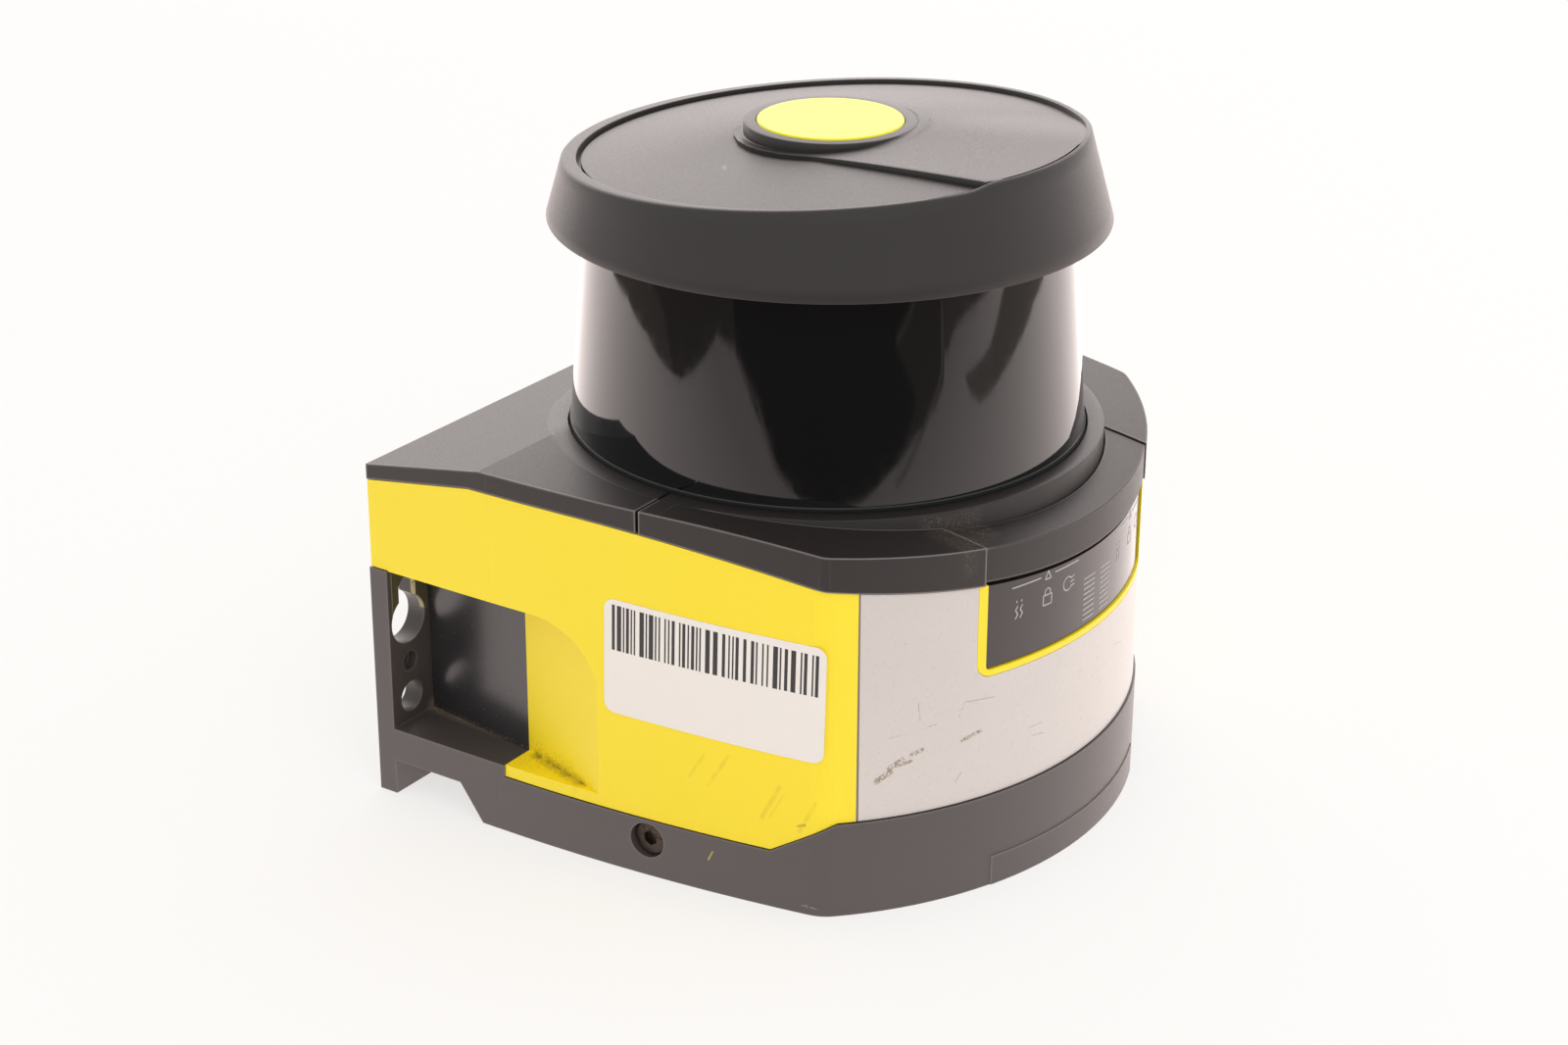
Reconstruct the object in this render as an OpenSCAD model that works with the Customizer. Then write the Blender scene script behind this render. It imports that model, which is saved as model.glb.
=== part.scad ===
// Safety laser scanner: a scanner unit seated in its connection unit.
// Millimetres, +Z up, the front faces -Y, origin at the middle of the underside.

/* [Body] */
// Width across the straight rear part of the sides
body_w = 140; // [136:1:150]
// Depth from the rear face to the front of the bow
body_d = 140; // [136:1:150]
// Length of the straight rear part of each side
rear_straight = 33; // [28:1:38]
// Radius of the bowed sides
side_bow_r = 415; // [380:5:600]
// Radius of the bowed front
front_bow_r = 84; // [80:1:92]
// Radius of the two front corners
corner_r = 9; // [5:1:12]

/* [Connection unit] */
// Height of the base under the housing's sides
base_h = 13.1; // [12:0.1:14]
// Height of the base's floor in the side recesses
shelf_h = 15.9; // [15:0.1:18]
// Height of the base at the front
nose_h = 21.3; // [20:0.1:24]
// Distance from the front of the bow to where the base stops rising
nose_len = 26; // [22:1:30]
// Length of the slope up to the nose
nose_slope = 13.5; // [10:0.5:18]
// Thickness of the base's side walls
base_wall = 5; // [4:0.5:6]
// Thickness of the base's floor
base_floor = 4; // [3:0.5:5]
// Thickness of the rear plate
rear_plate_t = 4.7; // [3.4:0.1:5]
// Height of the rear plate
rear_plate_h = 53.8; // [50:0.1:58]
// Height of the cable notch under the rear edge
notch_h = 8.2; // [6:0.1:9]
// Depth of the cable notch in front of the rear plate
notch_d = 18.3; // [16:0.1:22]
// Length of the notch's sloped end
notch_slope = 6; // [4:0.5:8]
// Width of the raised pad on the base's front
pad_w = 62; // [50:1:70]
// Height of the raised pad
pad_h = 6.8; // [5:0.1:8]
// How far the pad stands out
pad_rise = 0.25; // [0.1:0.05:0.5]

/* [Wall fixings] */
// Distance of the wall holes from the unit's sides
wall_hole_edge = 6.4; // [6:0.1:8]
// Height of the round wall holes
wall_hole_z = 21.5; // [20.5:0.1:23]
// Diameter of the round wall holes
wall_hole_d = 7; // [5:0.1:8]
// Height of the keyholes' round part
keyhole_z = 40.2; // [38:0.1:42]
// Diameter of the keyholes' round part
keyhole_d = 11; // [9:0.1:11.5]
// Height of the top of the keyholes' slot, at its centre line
keyhole_slot_z = 47.8; // [46:0.1:49]
// Width of the keyholes' slot
keyhole_slot_w = 5.5; // [4.5:0.1:6.5]
// Height of the blind locating holes
pin_hole_z = 30.1; // [28.5:0.1:32]
// Diameter of the blind locating holes
pin_hole_d = 4.5; // [3:0.1:5]
// Width of the metal keyhole inserts
insert_w = 11.2; // [11:0.1:12]
// Distance of the metal keyhole inserts from the unit's sides
insert_edge = 1.4; // [0.8:0.1:1.8]
// Height of the lower edge of the metal keyhole inserts
insert_z = 40.5; // [39:0.1:42]
// Thickness of the metal keyhole inserts
insert_t = 1.4; // [1:0.1:2]

/* [Locking screws] */
// Distance of the screw axis in front of the scoop
lock_set = 11.1; // [10:0.1:14]
// Height of the screw axis
lock_z = 8.3; // [7.8:0.1:8.6]
// Diameter of the screw hole's wide part
lock_head_hole_d = 8; // [7:0.1:8.6]
// Depth of the screw hole's wide part
lock_head_hole_l = 3.6; // [3:0.1:4]
// Diameter of the screw head
lock_head_d = 7.4; // [6:0.1:7.6]
// Length of the screw head
lock_head_l = 2.4; // [2:0.1:3]
// Diameter of the screw's shank
lock_shank_d = 5; // [4:0.1:5]
// Length of the screw's shank
lock_shank_l = 10; // [8:0.5:12]
// Width of the lock blocks
lock_block_w = 11; // [10:0.5:14]
// Thickness of the lock blocks
lock_block_t = 9; // [7:0.5:10]

/* [Housing] */
// How far the housing's sides and rear lie behind the base's
side_inset = 0.3; // [0.1:0.1:0.5]
// Thickness of the housing's walls
housing_wall = 3; // [2.5:0.1:4]
// Distance from the unit's sides to the room between the recesses
inner_margin = 19.5; // [18.5:0.5:22]
// Height of the parting line under the covers, at its crest
line_h = 78.5; // [77:0.1:79.5]
// Radius of the parting line's fall to the front
line_bow_r = 380; // [340:5:460]
// Where the parting line starts to fall to the front
line_bow_y = 20; // [10:1:30]
// Where the parting line starts to fall to the rear
line_slope_y = 42; // [38:1:50]
// Angle of the parting line's fall to the rear
line_slope = 8.9; // [6:0.1:10]
// Height of the top of the inner deck
deck_h = 66; // [65:0.5:67]
// Thickness of the inner deck
deck_t = 3; // [2:0.5:4]
// Radius of the hole in the deck
deck_hole_r = 24; // [20:1:28]
// Height of the lower lip under the scoops
lip_t = 2.7; // [2:0.1:3]
// Width of each side recess at the scoop
recess_front_w = 8.7; // [8:0.1:10]
// Width of each side recess at the rear plate
recess_rear_w = 13.5; // [12:0.1:15]
// Length of the side recess, from the rear plate to the scoop
recess_len = 30.8; // [30:0.1:34]
// Length of the scoop
scoop_len = 25.3; // [22:0.1:28]
// Radius of the scoop's upper corner
scoop_r = 17; // [10:1:20]
// Thickness of the recess panels
panel_t = 1.5; // [1:0.1:2]

/* [Front] */
// Half angle of the front label
label_angle = 43.2; // [40:0.1:44]
// Thickness of the front label
label_t = 0.5; // [0.3:0.1:0.8]
// How far the label lies behind the bow
label_inset = 0.8; // [0.4:0.1:1.2]
// Width of the display panel
display_w = 65.4; // [60:0.2:66]
// Height of the display panel's lower edge
display_z = 50.6; // [50:0.1:54]
// Width of the frame beside the display
frame_w = 2.4; // [2:0.1:3]
// Height of the frame below the display
frame_h = 1.8; // [1.4:0.1:3]
// Radius of the frame's lower corners
frame_r = 3.4; // [2:0.1:4]
// How far the display panel lies behind its frame
display_inset = 0.5; // [0.3:0.1:0.8]
// Thickness of the display panel
display_t = 1.2; // [0.8:0.1:1.4]
// Width of the ledge behind the display panel
display_ledge = 2; // [1:0.1:3]

/* [Covers] */
// Height of the covers at their crest
cover_h = 83.2; // [82:0.1:84]
// Radius of the covers' fall to the front
cover_bow_r = 325; // [300:5:400]
// Where the covers start to fall to the front
cover_bow_y = -5; // [-10:1:5]
// Where the covers start to fall to the rear
cover_slope_y = 39; // [34:1:46]
// Angle of the covers' fall to the rear
cover_slope = 9.9; // [8:0.1:11]
// Wall of the covers
cover_wall = 2.4; // [1.8:0.1:2.8]
// Radius of the covers' front corners
cover_corner_r = 4; // [3:1:8]
// Gap between neighbouring covers
seam = 0.8; // [0.4:0.1:1]
// Gap between the covers and what lies below or within them
shadow_gap = 0.2; // [0.1:0.05:0.4]
// Where the seam between the rear and front covers lies
seam_y = -0.4; // [-4:0.1:2]
// Width of the display hood
hood_w = 67.6; // [64:0.2:70]
// How far the hood lies behind its neighbours
hood_inset = 0.3; // [0.1:0.1:0.5]
// Height of the hood's lower edge above the parting line
hood_gap = 0.8; // [0.4:0.1:1.2]

/* [Window] */
// Distance of the scan axis in front of the middle
axis_y = 2; // [0:0.1:3]
// Distance from the window ring to the unit's sides
ring_margin = 10; // [9.5:0.1:11]
// Width of the window ring
ring_w = 4.3; // [4:0.1:5]
// How far the window draws in up to the cap
window_taper = 3.7; // [3:0.1:5]
// Wall of the window
window_t = 3; // [2.4:0.1:3.4]
// Height of the window's visible foot
window_z = 84; // [83.6:0.1:85]
// Thickness of the rubber seal under the window
seal_t = 1.5; // [1:0.1:2]
// Radial gap between the window and its ring
window_fit = 0.3; // [0.2:0.05:0.4]

/* [Cap] */
// Overall height, to the top of the yellow disc
total_h = 149; // [148:0.1:151]
// Height of the cap, from its underside to the top of the yellow disc
cap_h = 20.3; // [19:0.1:21]
// How far the cap's side draws in up to its rim
cap_taper = 4.4; // [4:0.1:5.2]
// Depth of the rim's plane on the scan axis, below the top of the disc
rim_depth = 4.7; // [4.4:0.1:5]
// Fall of the rim's plane, as height over length
rim_fall = 0.0704; // [0.06:0.0002:0.075]
// Width of the rim around the recessed floor
lip_w = 3.6; // [3:0.1:5]
// Depth of the recessed floor below the rim
floor_drop = 1.3; // [0.8:0.1:1.5]
// Thickness of the raised sector above the rim's plane
sector_rise = 0.5; // [0.3:0.1:0.6]
// Radius of the boss
boss_r = 18.3; // [17:0.1:20]
// Radius of the yellow disc
disc_r = 15.5; // [14:0.1:16]
// How far the disc stands above the boss
disc_rise = 0.3; // [0.2:0.1:0.6]
// Thickness of the yellow disc
disc_t = 0.9; // [0.6:0.1:1.2]
// Direction of the sector's straight step, where it meets the rim
step_angle = -115; // [-120:1:-110]

/* [Rotor] */
// Radius of the shaft
shaft_r = 2.5; // [2:0.1:3]
// Radial running clearance of the shaft in its bearings
run_fit = 0.04; // [0.02:0.01:0.08]
// Outer radius of the bearings
bearing_r = 6.5; // [6:0.1:7]
// Width of the bearings
bearing_w = 4; // [3:0.5:5]
// Radius of the bearing hub
hub_r = 8.5; // [8.2:0.1:9]
// Radius of the motor's stator
stator_r = 19; // [16:0.5:20]
// Height of the stator
stator_h = 8; // [6:0.5:9]
// Running gap around the stator and the encoder disc
run_gap = 0.8; // [0.5:0.1:1]
// Thickness of the magnet ring
magnet_t = 1.8; // [1.4:0.1:2.4]
// Wall of the rotor bell
bell_t = 1.6; // [1.2:0.1:2]
// Gap between the encoder disc and the head column
encoder_gap = 6; // [4:0.5:10]
// Gap between the mirror's highest point and the optics holder
mirror_room = 7.1; // [6:0.1:10]
// Thickness of the mirror
mirror_t = 2; // [1.5:0.1:2.5]
// Thickness of the carrier under the mirror's lowest point
carrier_foot = 3; // [2:0.5:4]

/* [Inside] */
// Height of the bottom plate's underside
bottom_z = 21.5; // [21.4:0.1:22.5]
// Thickness of the bottom plate
bottom_t = 3; // [2.5:0.1:3.5]
// Thickness of the circuit boards
board_t = 1.6; // [1:0.1:2]
// Height of the spacers under each board
spacer_h = 9; // [7:0.5:10]
// How much narrower the circuit boards are than the unit
board_less_w = 64; // [62:1:70]
// How much shorter the circuit boards are than the unit
board_less_d = 56; // [54:1:64]
// Gap around pieces that plug into one another
plug_fit = 0.3; // [0.2:0.05:0.5]

/* [Hidden] */
$fn = 96;
BIG_FN = 360;
CORNER_STEPS = 6;
eps = 0.01;
// Tangent curves overlap by this much, so that each pair meets in one clean edge.
step = 0.02;

rear_y = body_d / 2;
front_y = -body_d / 2;
half_w = body_w / 2;
wall_hole_pitch = body_w - 2 * wall_hole_edge;
bow_y = rear_y - rear_straight;
front_bow_y = front_y + front_bow_r;
side_bow_x = side_bow_r - half_w;
plate_y = rear_y - rear_plate_t;

// Sides of the housing: recess, scoop and their panels.
recess_y = plate_y - recess_len;
scoop_y = recess_y - scoop_len;
recess_top = rear_plate_h;
lip_h = base_h + shadow_gap + lip_t;
lock_y = lock_set - scoop_y;
panel_gap_front = body_w - 2 * recess_front_w;
panel_gap_rear = body_w - 2 * recess_rear_w;
housing_inner_w = body_w - 2 * inner_margin;
inner_x = housing_inner_w / 2;

// Front of the housing.
skin_r = front_bow_r - label_inset;
frame_z = display_z - frame_h;
display_r = skin_r - display_inset;
cover_inset = label_inset / 2;

// Window, ring and cap.
cap_z = total_h - cap_h;
rim_z = total_h - rim_depth;
ring_r = min(body_w, body_d) / 2 - ring_margin;
window_r = ring_r - ring_w;
window_top_r = window_r - window_taper;
cap_r = ring_r;
cap_rim_r = cap_r - cap_taper;
window_fall = (window_r - window_top_r) / (cap_z - window_z);
ring_in_r = window_r + window_fit + 0.3;
window_foot_r = window_r + 0.3;
seal_z = deck_h;
window_foot_z = seal_z + seal_t;
groove_z = cap_z + 2.4;
window_end_r = window_top_r - window_fall * (groove_z - cap_z);
holder_r = window_end_r - window_t - 0.6;
cap_fall = (cap_r - cap_rim_r) / (rim_z - cap_z);
boss_z = total_h - disc_rise;

// Motor and rotor, from the deck up.
motor_plate_t = 3;
motor_plate_z = deck_h + motor_plate_t;
hub_foot_z = motor_plate_z - 10;
hub_top_z = motor_plate_z + 12.5;
stator_z = motor_plate_z + 1.5;
magnet_r = stator_r + run_gap;
bell_r = magnet_r + magnet_t + bell_t;
bell_z = motor_plate_z + run_gap;
bell_top_z = hub_top_z + run_gap + bell_t;
encoder_t = 1;
carrier_z = bell_top_z + encoder_t;
holder_z = cap_z + 0.3;
holder_t = groove_z - holder_z;
mirror_r = (holder_z - mirror_room - carrier_z - carrier_foot) / 2;
scan_z = carrier_z + carrier_foot + mirror_r;
column_r = window_end_r - window_t - 3.8;
column_t = 5;
column_w = 22;
encoder_r = column_r - column_t - encoder_gap;
plate_screw_r = window_foot_r - window_t - 15;
lens_r = 17.5;
lens_curve_r = 60;
tube_h = 5;
cap_room_r = 27;

// Boards, from the bottom plate up.
main_board_z = bottom_z + bottom_t + spacer_h;
power_board_z = main_board_z + board_t + spacer_h;
pillar_r = 4;
pillar_x = inner_x - pillar_r - 1.5;
pillar_y = [front_y + 38, plate_y - housing_wall - 7.2];
board_w = body_w - board_less_w;
board_d = body_d - board_less_d;
board_rear_y = plate_y - 16.2;
board_y = board_rear_y - board_d / 2;

function along(a, b) = (b - a) / norm(b - a);

function unit(angle) = [cos(angle), sin(angle)];

// Direction of a vector, from 0 to 360 degrees.
function direction(v) = (atan2(v.y, v.x) + 360) % 360;

// Where a circle about a and one about b meet, on the side of negative y.
function meet(a, ra, b, rb) =
    let (d = norm(b - a), s = (ra * ra - rb * rb + d * d) / (2 * d), u = along(a, b))
    a + s * u + sqrt(ra * ra - s * s) * [u.y, -u.x] * (u.x < 0 ? -1 : 1);

// ---- Outlines and profiles ----

// Plan outline of the whole unit, drawn in by one inset at the bow and one elsewhere.
module plan(bow_inset = 0, inset = 0, corner = corner_r) {
    side = [side_bow_x, bow_y];
    front = [0, front_bow_y];
    side_r = side_bow_r - inset - step;
    bow_r = front_bow_r - bow_inset;
    middle = meet(side, side_r - corner, front, bow_r - corner);
    on_side = side + side_r * along(side, middle);
    on_bow = front + bow_r * along(front, middle);
    out = along(middle, (on_side + on_bow) / 2);
    start = direction(on_side - middle);
    turn = direction(on_bow - middle) - start;
    round_edge = [for (i = [0:CORNER_STEPS]) middle + (corner - step) * unit(start + turn * i / CORNER_STEPS)];
    difference() {
        union() {
            translate([-half_w + inset, bow_y]) square([body_w - 2 * inset, rear_straight - inset]);
            intersection() {
                translate([-half_w, front_y]) square([body_w, body_d - inset - step]);
                translate([side_bow_x, bow_y]) circle(r = side_r, $fn = BIG_FN);
                translate([-side_bow_x, bow_y]) circle(r = side_r, $fn = BIG_FN);
                translate(front) circle(r = bow_r, $fn = BIG_FN);
            }
        }
        for (flip = [0, 1]) mirror([flip, 0])
            polygon(concat([on_side + 20 * out], round_edge, [on_bow + 20 * out]));
    }
}

// Extrudes a side view, drawn as (y, z), over a width that is centred on x = 0.
module side_prism(width) {
    rotate([90, 0, 90]) linear_extrude(width, center = true) children();
}

// Side view of all that lies below a crowned surface.
module below_crown(height, bow_r, bow_start, slope_start, slope) {
    far = rear_y + 5;
    polygon([[bow_start, -5], [far, -5], [far, height - (far - slope_start) * tan(slope)],
        [slope_start, height], [bow_start, height]]);
    intersection() {
        translate([bow_start, height - bow_r]) circle(r = bow_r - step, $fn = BIG_FN);
        translate([front_y - 5, -5]) square([slope_start - 4 - front_y, height + 10]);
    }
}

module below_line(drop = 0) {
    side_prism(body_w + 10)
        below_crown(line_h - drop, line_bow_r, line_bow_y, line_slope_y, line_slope);
}

module below_cover(drop = 0) {
    side_prism(body_w + 10)
        below_crown(cover_h - drop, cover_bow_r, cover_bow_y, cover_slope_y, cover_slope);
}

// Side view of the connection unit.
module base_side() {
    notch_y = plate_y - notch_d;
    nose_y = front_y + nose_len;
    polygon([[rear_y, 0], [rear_y, rear_plate_h], [plate_y, rear_plate_h], [plate_y, shelf_h],
        [recess_y, shelf_h], [recess_y, base_h], [nose_y + nose_slope, base_h], [nose_y, nose_h],
        [front_y - 5, nose_h], [front_y - 5, 0], [notch_y - notch_slope, 0],
        [notch_y, notch_h], [plate_y, notch_h], [plate_y, 0]]);
}

module on_axis(z = 0) {
    translate([0, -axis_y, z]) children();
}

module ring(r_out, r_in, h) {
    difference() {
        cylinder(r = r_out, h = h);
        translate([0, 0, -1]) cylinder(r = r_in, h = h + 2);
    }
}

module left_and_right() {
    for (flip = [0, 1]) mirror([flip, 0, 0]) children();
}

// ---- Connection unit ----

module wall_hole(z, d) {
    translate([0, plate_y - 1, z]) rotate([-90, 0, 0]) cylinder(d = d, h = rear_plate_t + 2);
}

module keyhole() {
    wall_hole(keyhole_z, keyhole_d);
    wall_hole(keyhole_slot_z, keyhole_slot_w);
    translate([-keyhole_slot_w / 2, plate_y - 1, keyhole_z])
        cube([keyhole_slot_w, rear_plate_t + 2, keyhole_slot_z - keyhole_z]);
}

module insert_blank(gap = 0) {
    translate([-half_w + insert_edge - gap, plate_y - 1, insert_z - gap])
        cube([insert_w + 2 * gap, insert_t + 1, rear_plate_h - insert_z + 2 * gap]);
}

// Room for wiring inside the base: wide in front, narrow over the cable notch.
module base_room() {
    translate([0, 0, base_floor]) linear_extrude(nose_h) intersection() {
        plan(base_wall, base_wall);
        translate([-half_w, front_y]) square([body_w, recess_y - base_wall - front_y]);
    }
    room_w = housing_inner_w - 8;
    translate([-room_w / 2, recess_y - base_wall - 1, notch_h + base_floor])
        cube([room_w, plate_y - recess_y + base_wall - 2, nose_h]);
}

module front_pad() {
    intersection() {
        linear_extrude(pad_h) difference() {
            plan();
            plan(pad_rise + 1, 1);
        }
        translate([-pad_w / 2, front_y - 1, 0]) cube([pad_w, body_d / 4, pad_h]);
    }
}

module connection_unit() {
    color("#5f5b59") {
        difference() {
            intersection() {
                linear_extrude(rear_plate_h) plan(pad_rise);
                side_prism(body_w) base_side();
            }
            base_room();
            left_and_right() {
                translate([-wall_hole_pitch / 2, 0, 0]) {
                    wall_hole(wall_hole_z, wall_hole_d);
                    keyhole();
                    translate([0, plate_y - 1, pin_hole_z]) rotate([-90, 0, 0])
                        cylinder(d = pin_hole_d, h = rear_plate_t / 2 + 1);
                }
                insert_blank(eps);
                lock_hole();
                grommet_hole();
            }
        }
        front_pad();
    }
}

module keyhole_insert() {
    color("#8a8a5c") intersection() {
        difference() {
            insert_blank();
            translate([-wall_hole_pitch / 2, 0, 0]) keyhole();
        }
        translate([-half_w, plate_y, 0]) cube([2 * insert_w, insert_t, rear_plate_h]);
    }
}

module keyhole_insert_left() {
    keyhole_insert();
}

module keyhole_insert_right() {
    mirror([1, 0, 0]) keyhole_insert();
}

// Half width of the bowed side, at a given y.
function side_x(y) = sqrt(side_bow_r * side_bow_r - (y - bow_y) * (y - bow_y)) - side_bow_x;

lock_x = side_x(-lock_y);
lock_seat_x = lock_x - lock_head_hole_l;
block_x = side_x(-lock_y - lock_block_w / 2) - base_wall - 0.6;

module at_lock(x) {
    translate([-x, -lock_y, lock_z]) rotate([0, 90, 0]) children();
}

module lock_hole() {
    at_lock(lock_x + 3) cylinder(d = lock_head_hole_d, h = lock_head_hole_l + 3);
    at_lock(lock_x + 3) cylinder(d = lock_shank_d + 0.6, h = base_wall + 6);
}

module locking_screws() {
    color("#9a978f") left_and_right() {
        difference() {
            at_lock(lock_seat_x + lock_head_l) cylinder(d = lock_head_d, h = lock_head_l);
            at_lock(lock_seat_x + lock_head_l + 1) cylinder(d = 3.4, h = 2.4, $fn = 6);
        }
        at_lock(lock_seat_x) cylinder(d = lock_shank_d, h = lock_shank_l);
    }
}

module lock_blocks() {
    color("#8d8f92") left_and_right() difference() {
        translate([-block_x, -lock_y - lock_block_w / 2, base_floor + 0.5])
            cube([lock_block_t, lock_block_w, bottom_z - base_floor - 0.5]);
        at_lock(block_x + 1) cylinder(d = lock_shank_d + 0.1, h = lock_block_t + 2);
    }
}

grommet_x = 26;
grommet_r = 5.5;
grommet_y = plate_y - notch_d / 2;

module grommet_hole() {
    translate([-grommet_x, grommet_y, notch_h - 1]) cylinder(r = grommet_r, h = base_floor + 2);
}

module cable_grommets() {
    color("#1d1d1e") left_and_right() translate([-grommet_x, grommet_y, notch_h - 1.5]) {
        difference() {
            union() {
                ring(grommet_r - 0.1, 3, base_floor + 3);
                ring(grommet_r + 1.6, 3, 1.4);
            }
        }
    }
}

// Socket on the base's floor, with a slot that takes the plug.
plug_w = 30;
plug_d = 9;
plug_y = recess_y - base_wall - plug_d - 6.5;
plug_z = 10;

module socket() {
    color("#2b2c2e") difference() {
        translate([-plug_w / 2 - 3, plug_y - 3, base_floor])
            cube([plug_w + 6, plug_d + 6, bottom_z - base_floor - 3]);
        translate([-plug_w / 2 - plug_fit, plug_y - plug_fit, plug_z - plug_fit])
            cube([plug_w + 2 * plug_fit, plug_d + 2 * plug_fit, bottom_z]);
    }
}

module plug() {
    color("#2f6f52") translate([-plug_w / 2, plug_y, plug_z])
        cube([plug_w, plug_d, bottom_z - plug_z]);
}

module terminal_block() {
    terminals = 10;
    pitch = 5;
    color("#3d7d56") difference() {
        translate([-terminals * pitch / 2, plug_y - 36, base_floor]) cube([terminals * pitch, 14, 11]);
        for (i = [0:terminals - 1])
            translate([(i + 0.5 - terminals / 2) * pitch, plug_y - 29, base_floor + 6])
                cylinder(d = 3, h = 6);
    }
}

// ---- Housing ----

// Half plan of the recess panels' outer faces, drawn in by an inset.
module beyond_panels(inset = 0) {
    far = half_w + 5;
    polygon([[-panel_gap_front / 2 + inset, recess_y], [-panel_gap_rear / 2 + inset, plate_y],
        [-panel_gap_rear / 2 + inset, rear_y + 5], [-far, rear_y + 5], [-far, recess_y]]);
}

// Space of one side recess, behind the scoop.
module recess_space(inset = 0) {
    translate([0, 0, base_h - 1]) linear_extrude(recess_top - base_h + 1) beyond_panels(inset);
}

// Space of one scoop: a wedge that runs out at the side, with a round upper corner.
module scoop_space() {
    intersection() {
        translate([0, 0, lip_h]) linear_extrude(recess_top - lip_h)
            polygon([[-panel_gap_front / 2, recess_y + eps], [-side_x(scoop_y), scoop_y],
                [-half_w - 5, scoop_y], [-half_w - 5, recess_y + eps]]);
        side_prism(2 * body_w) {
            translate([scoop_y - 1, lip_h - 1])
                square([recess_y - scoop_y + 2, recess_top - scoop_r - lip_h + 1]);
            translate([scoop_y + scoop_r, lip_h])
                square([recess_y - scoop_y, recess_top - lip_h + 1]);
            translate([scoop_y + scoop_r, recess_top - scoop_r]) circle(r = scoop_r);
        }
    }
}

// Side view of all that the housing may fill above the connection unit.
module above_base_side() {
    gap = shadow_gap;
    nose_y = front_y + nose_len;
    top = cover_h + 10;
    polygon([[rear_y + 1, recess_top + gap], [rear_y + 1, top], [front_y - 5, top],
        [front_y - 5, nose_h + gap], [nose_y, nose_h + gap], [nose_y + nose_slope, base_h + gap],
        [recess_y, base_h + gap], [recess_y, shelf_h + gap], [plate_y - gap, shelf_h + gap],
        [plate_y - gap, recess_top + gap]]);
}

// Plan of the housing's room: narrow beside the recesses.
module room_plan(inset = 0) {
    intersection() {
        plan(housing_wall + label_inset + inset, housing_wall + side_inset + inset);
        union() {
            translate([-half_w, front_y]) square([body_w, scoop_y - housing_wall - front_y - inset]);
            translate([-inner_x + inset, front_y])
                square([housing_inner_w - 2 * inset, plate_y - housing_wall - front_y - inset]);
        }
    }
}

// Outline of the display opening in front view, grown by a border.
module display_outline(border_x = 0, border_z = 0, r = 0.8) {
    w = display_w / 2 + border_x;
    z = display_z - border_z;
    translate([-w, z + r]) square([2 * w, line_h]);
    translate([-w + r, z]) square([2 * w - 2 * r, line_h]);
    for (side = [-1, 1]) translate([side * (w - r), z + r]) circle(r = r);
}

module front_prism() {
    rotate([90, 0, 0]) linear_extrude(-front_y + 5) children();
}

module label_space(grow = 0) {
    difference() {
        intersection() {
            translate([0, front_bow_y, 0]) difference() {
                cylinder(r = front_bow_r + 2, h = cover_h, $fn = BIG_FN);
                translate([0, 0, -1]) cylinder(r = skin_r - label_t, h = cover_h + 2, $fn = BIG_FN);
            }
            translate([0, front_bow_y, 0]) linear_extrude(cover_h)
                polygon([[0, 0], 2 * front_bow_r * [-sin(label_angle), -cos(label_angle)],
                    2 * front_bow_r * [sin(label_angle), -cos(label_angle)]]);
        }
        front_prism() display_outline(frame_w - grow, frame_h - grow, frame_r);
    }
}

module pillars() {
    for (side = [-1, 1], y = pillar_y) translate([side * pillar_x, y, bottom_z + bottom_t])
        cylinder(r = pillar_r, h = deck_h - bottom_z - bottom_t - deck_t / 2);
}

module pillar_holes(r) {
    for (side = [-1, 1], y = pillar_y) translate([side * pillar_x, y, bottom_z - 1])
        cylinder(r = r, h = 14);
}

// The display sits on a ledge behind its pocket.
module display_pocket() {
    intersection() {
        front_prism() display_outline(plug_fit, plug_fit, 1.1);
        translate([0, front_bow_y, 0])
            tall_ring(front_bow_r + 5, display_r - display_t - plug_fit);
    }
    front_prism() display_outline(-display_ledge, -display_ledge);
}

module housing() {
    color("#f4cf1c") difference() {
        union() {
            difference() {
                intersection() {
                    linear_extrude(line_h + 1) plan(label_inset, side_inset);
                    side_prism(body_w) above_base_side();
                    below_line();
                }
                difference() {
                    translate([0, 0, -1]) linear_extrude(deck_h - deck_t + 1) room_plan();
                    pillars();
                }
                translate([0, 0, deck_h]) linear_extrude(line_h)
                    plan(housing_wall + label_inset, housing_wall + side_inset);
            }
        }
        on_axis() cylinder(r = deck_hole_r, h = line_h);
        left_and_right() {
            recess_space(panel_t);
            scoop_space();
        }
        label_space(0.1);
        display_pocket();
        pillar_holes(1.6);
        on_axis() motor_plate_screw_places(deck_h - 12) cylinder(r = 1.5, h = 13);
    }
}

module recess_panel() {
    inner = panel_t - eps;
    color("#26262a") translate([0, 0, shelf_h + shadow_gap])
        linear_extrude(recess_top - shelf_h - 2 * shadow_gap) intersection() {
            polygon([[-panel_gap_front / 2, recess_y], [-panel_gap_rear / 2, plate_y],
                [-panel_gap_rear / 2 + inner, plate_y], [-panel_gap_front / 2 + inner, recess_y]]);
            translate([-half_w, 0]) square([body_w, plate_y - shadow_gap]);
        }
}

module recess_panel_left() {
    recess_panel();
}

module recess_panel_right() {
    mirror([1, 0, 0]) recess_panel();
}

module bottom_plate() {
    color("#35363a") difference() {
        translate([0, 0, bottom_z]) linear_extrude(bottom_t) room_plan(plug_fit);
        pillar_holes(1.8);
    }
}

module screw(head_r, head_h, shank_r, shank_l) {
    cylinder(r = head_r, h = head_h);
    translate([0, 0, head_h]) cylinder(r = shank_r, h = shank_l);
}

module bottom_screws() {
    color("#a8a7a2") for (side = [-1, 1], y = pillar_y)
        translate([side * pillar_x, y, bottom_z - 1.8]) screw(2.8, 1.8, 1.5, 11);
}

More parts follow.
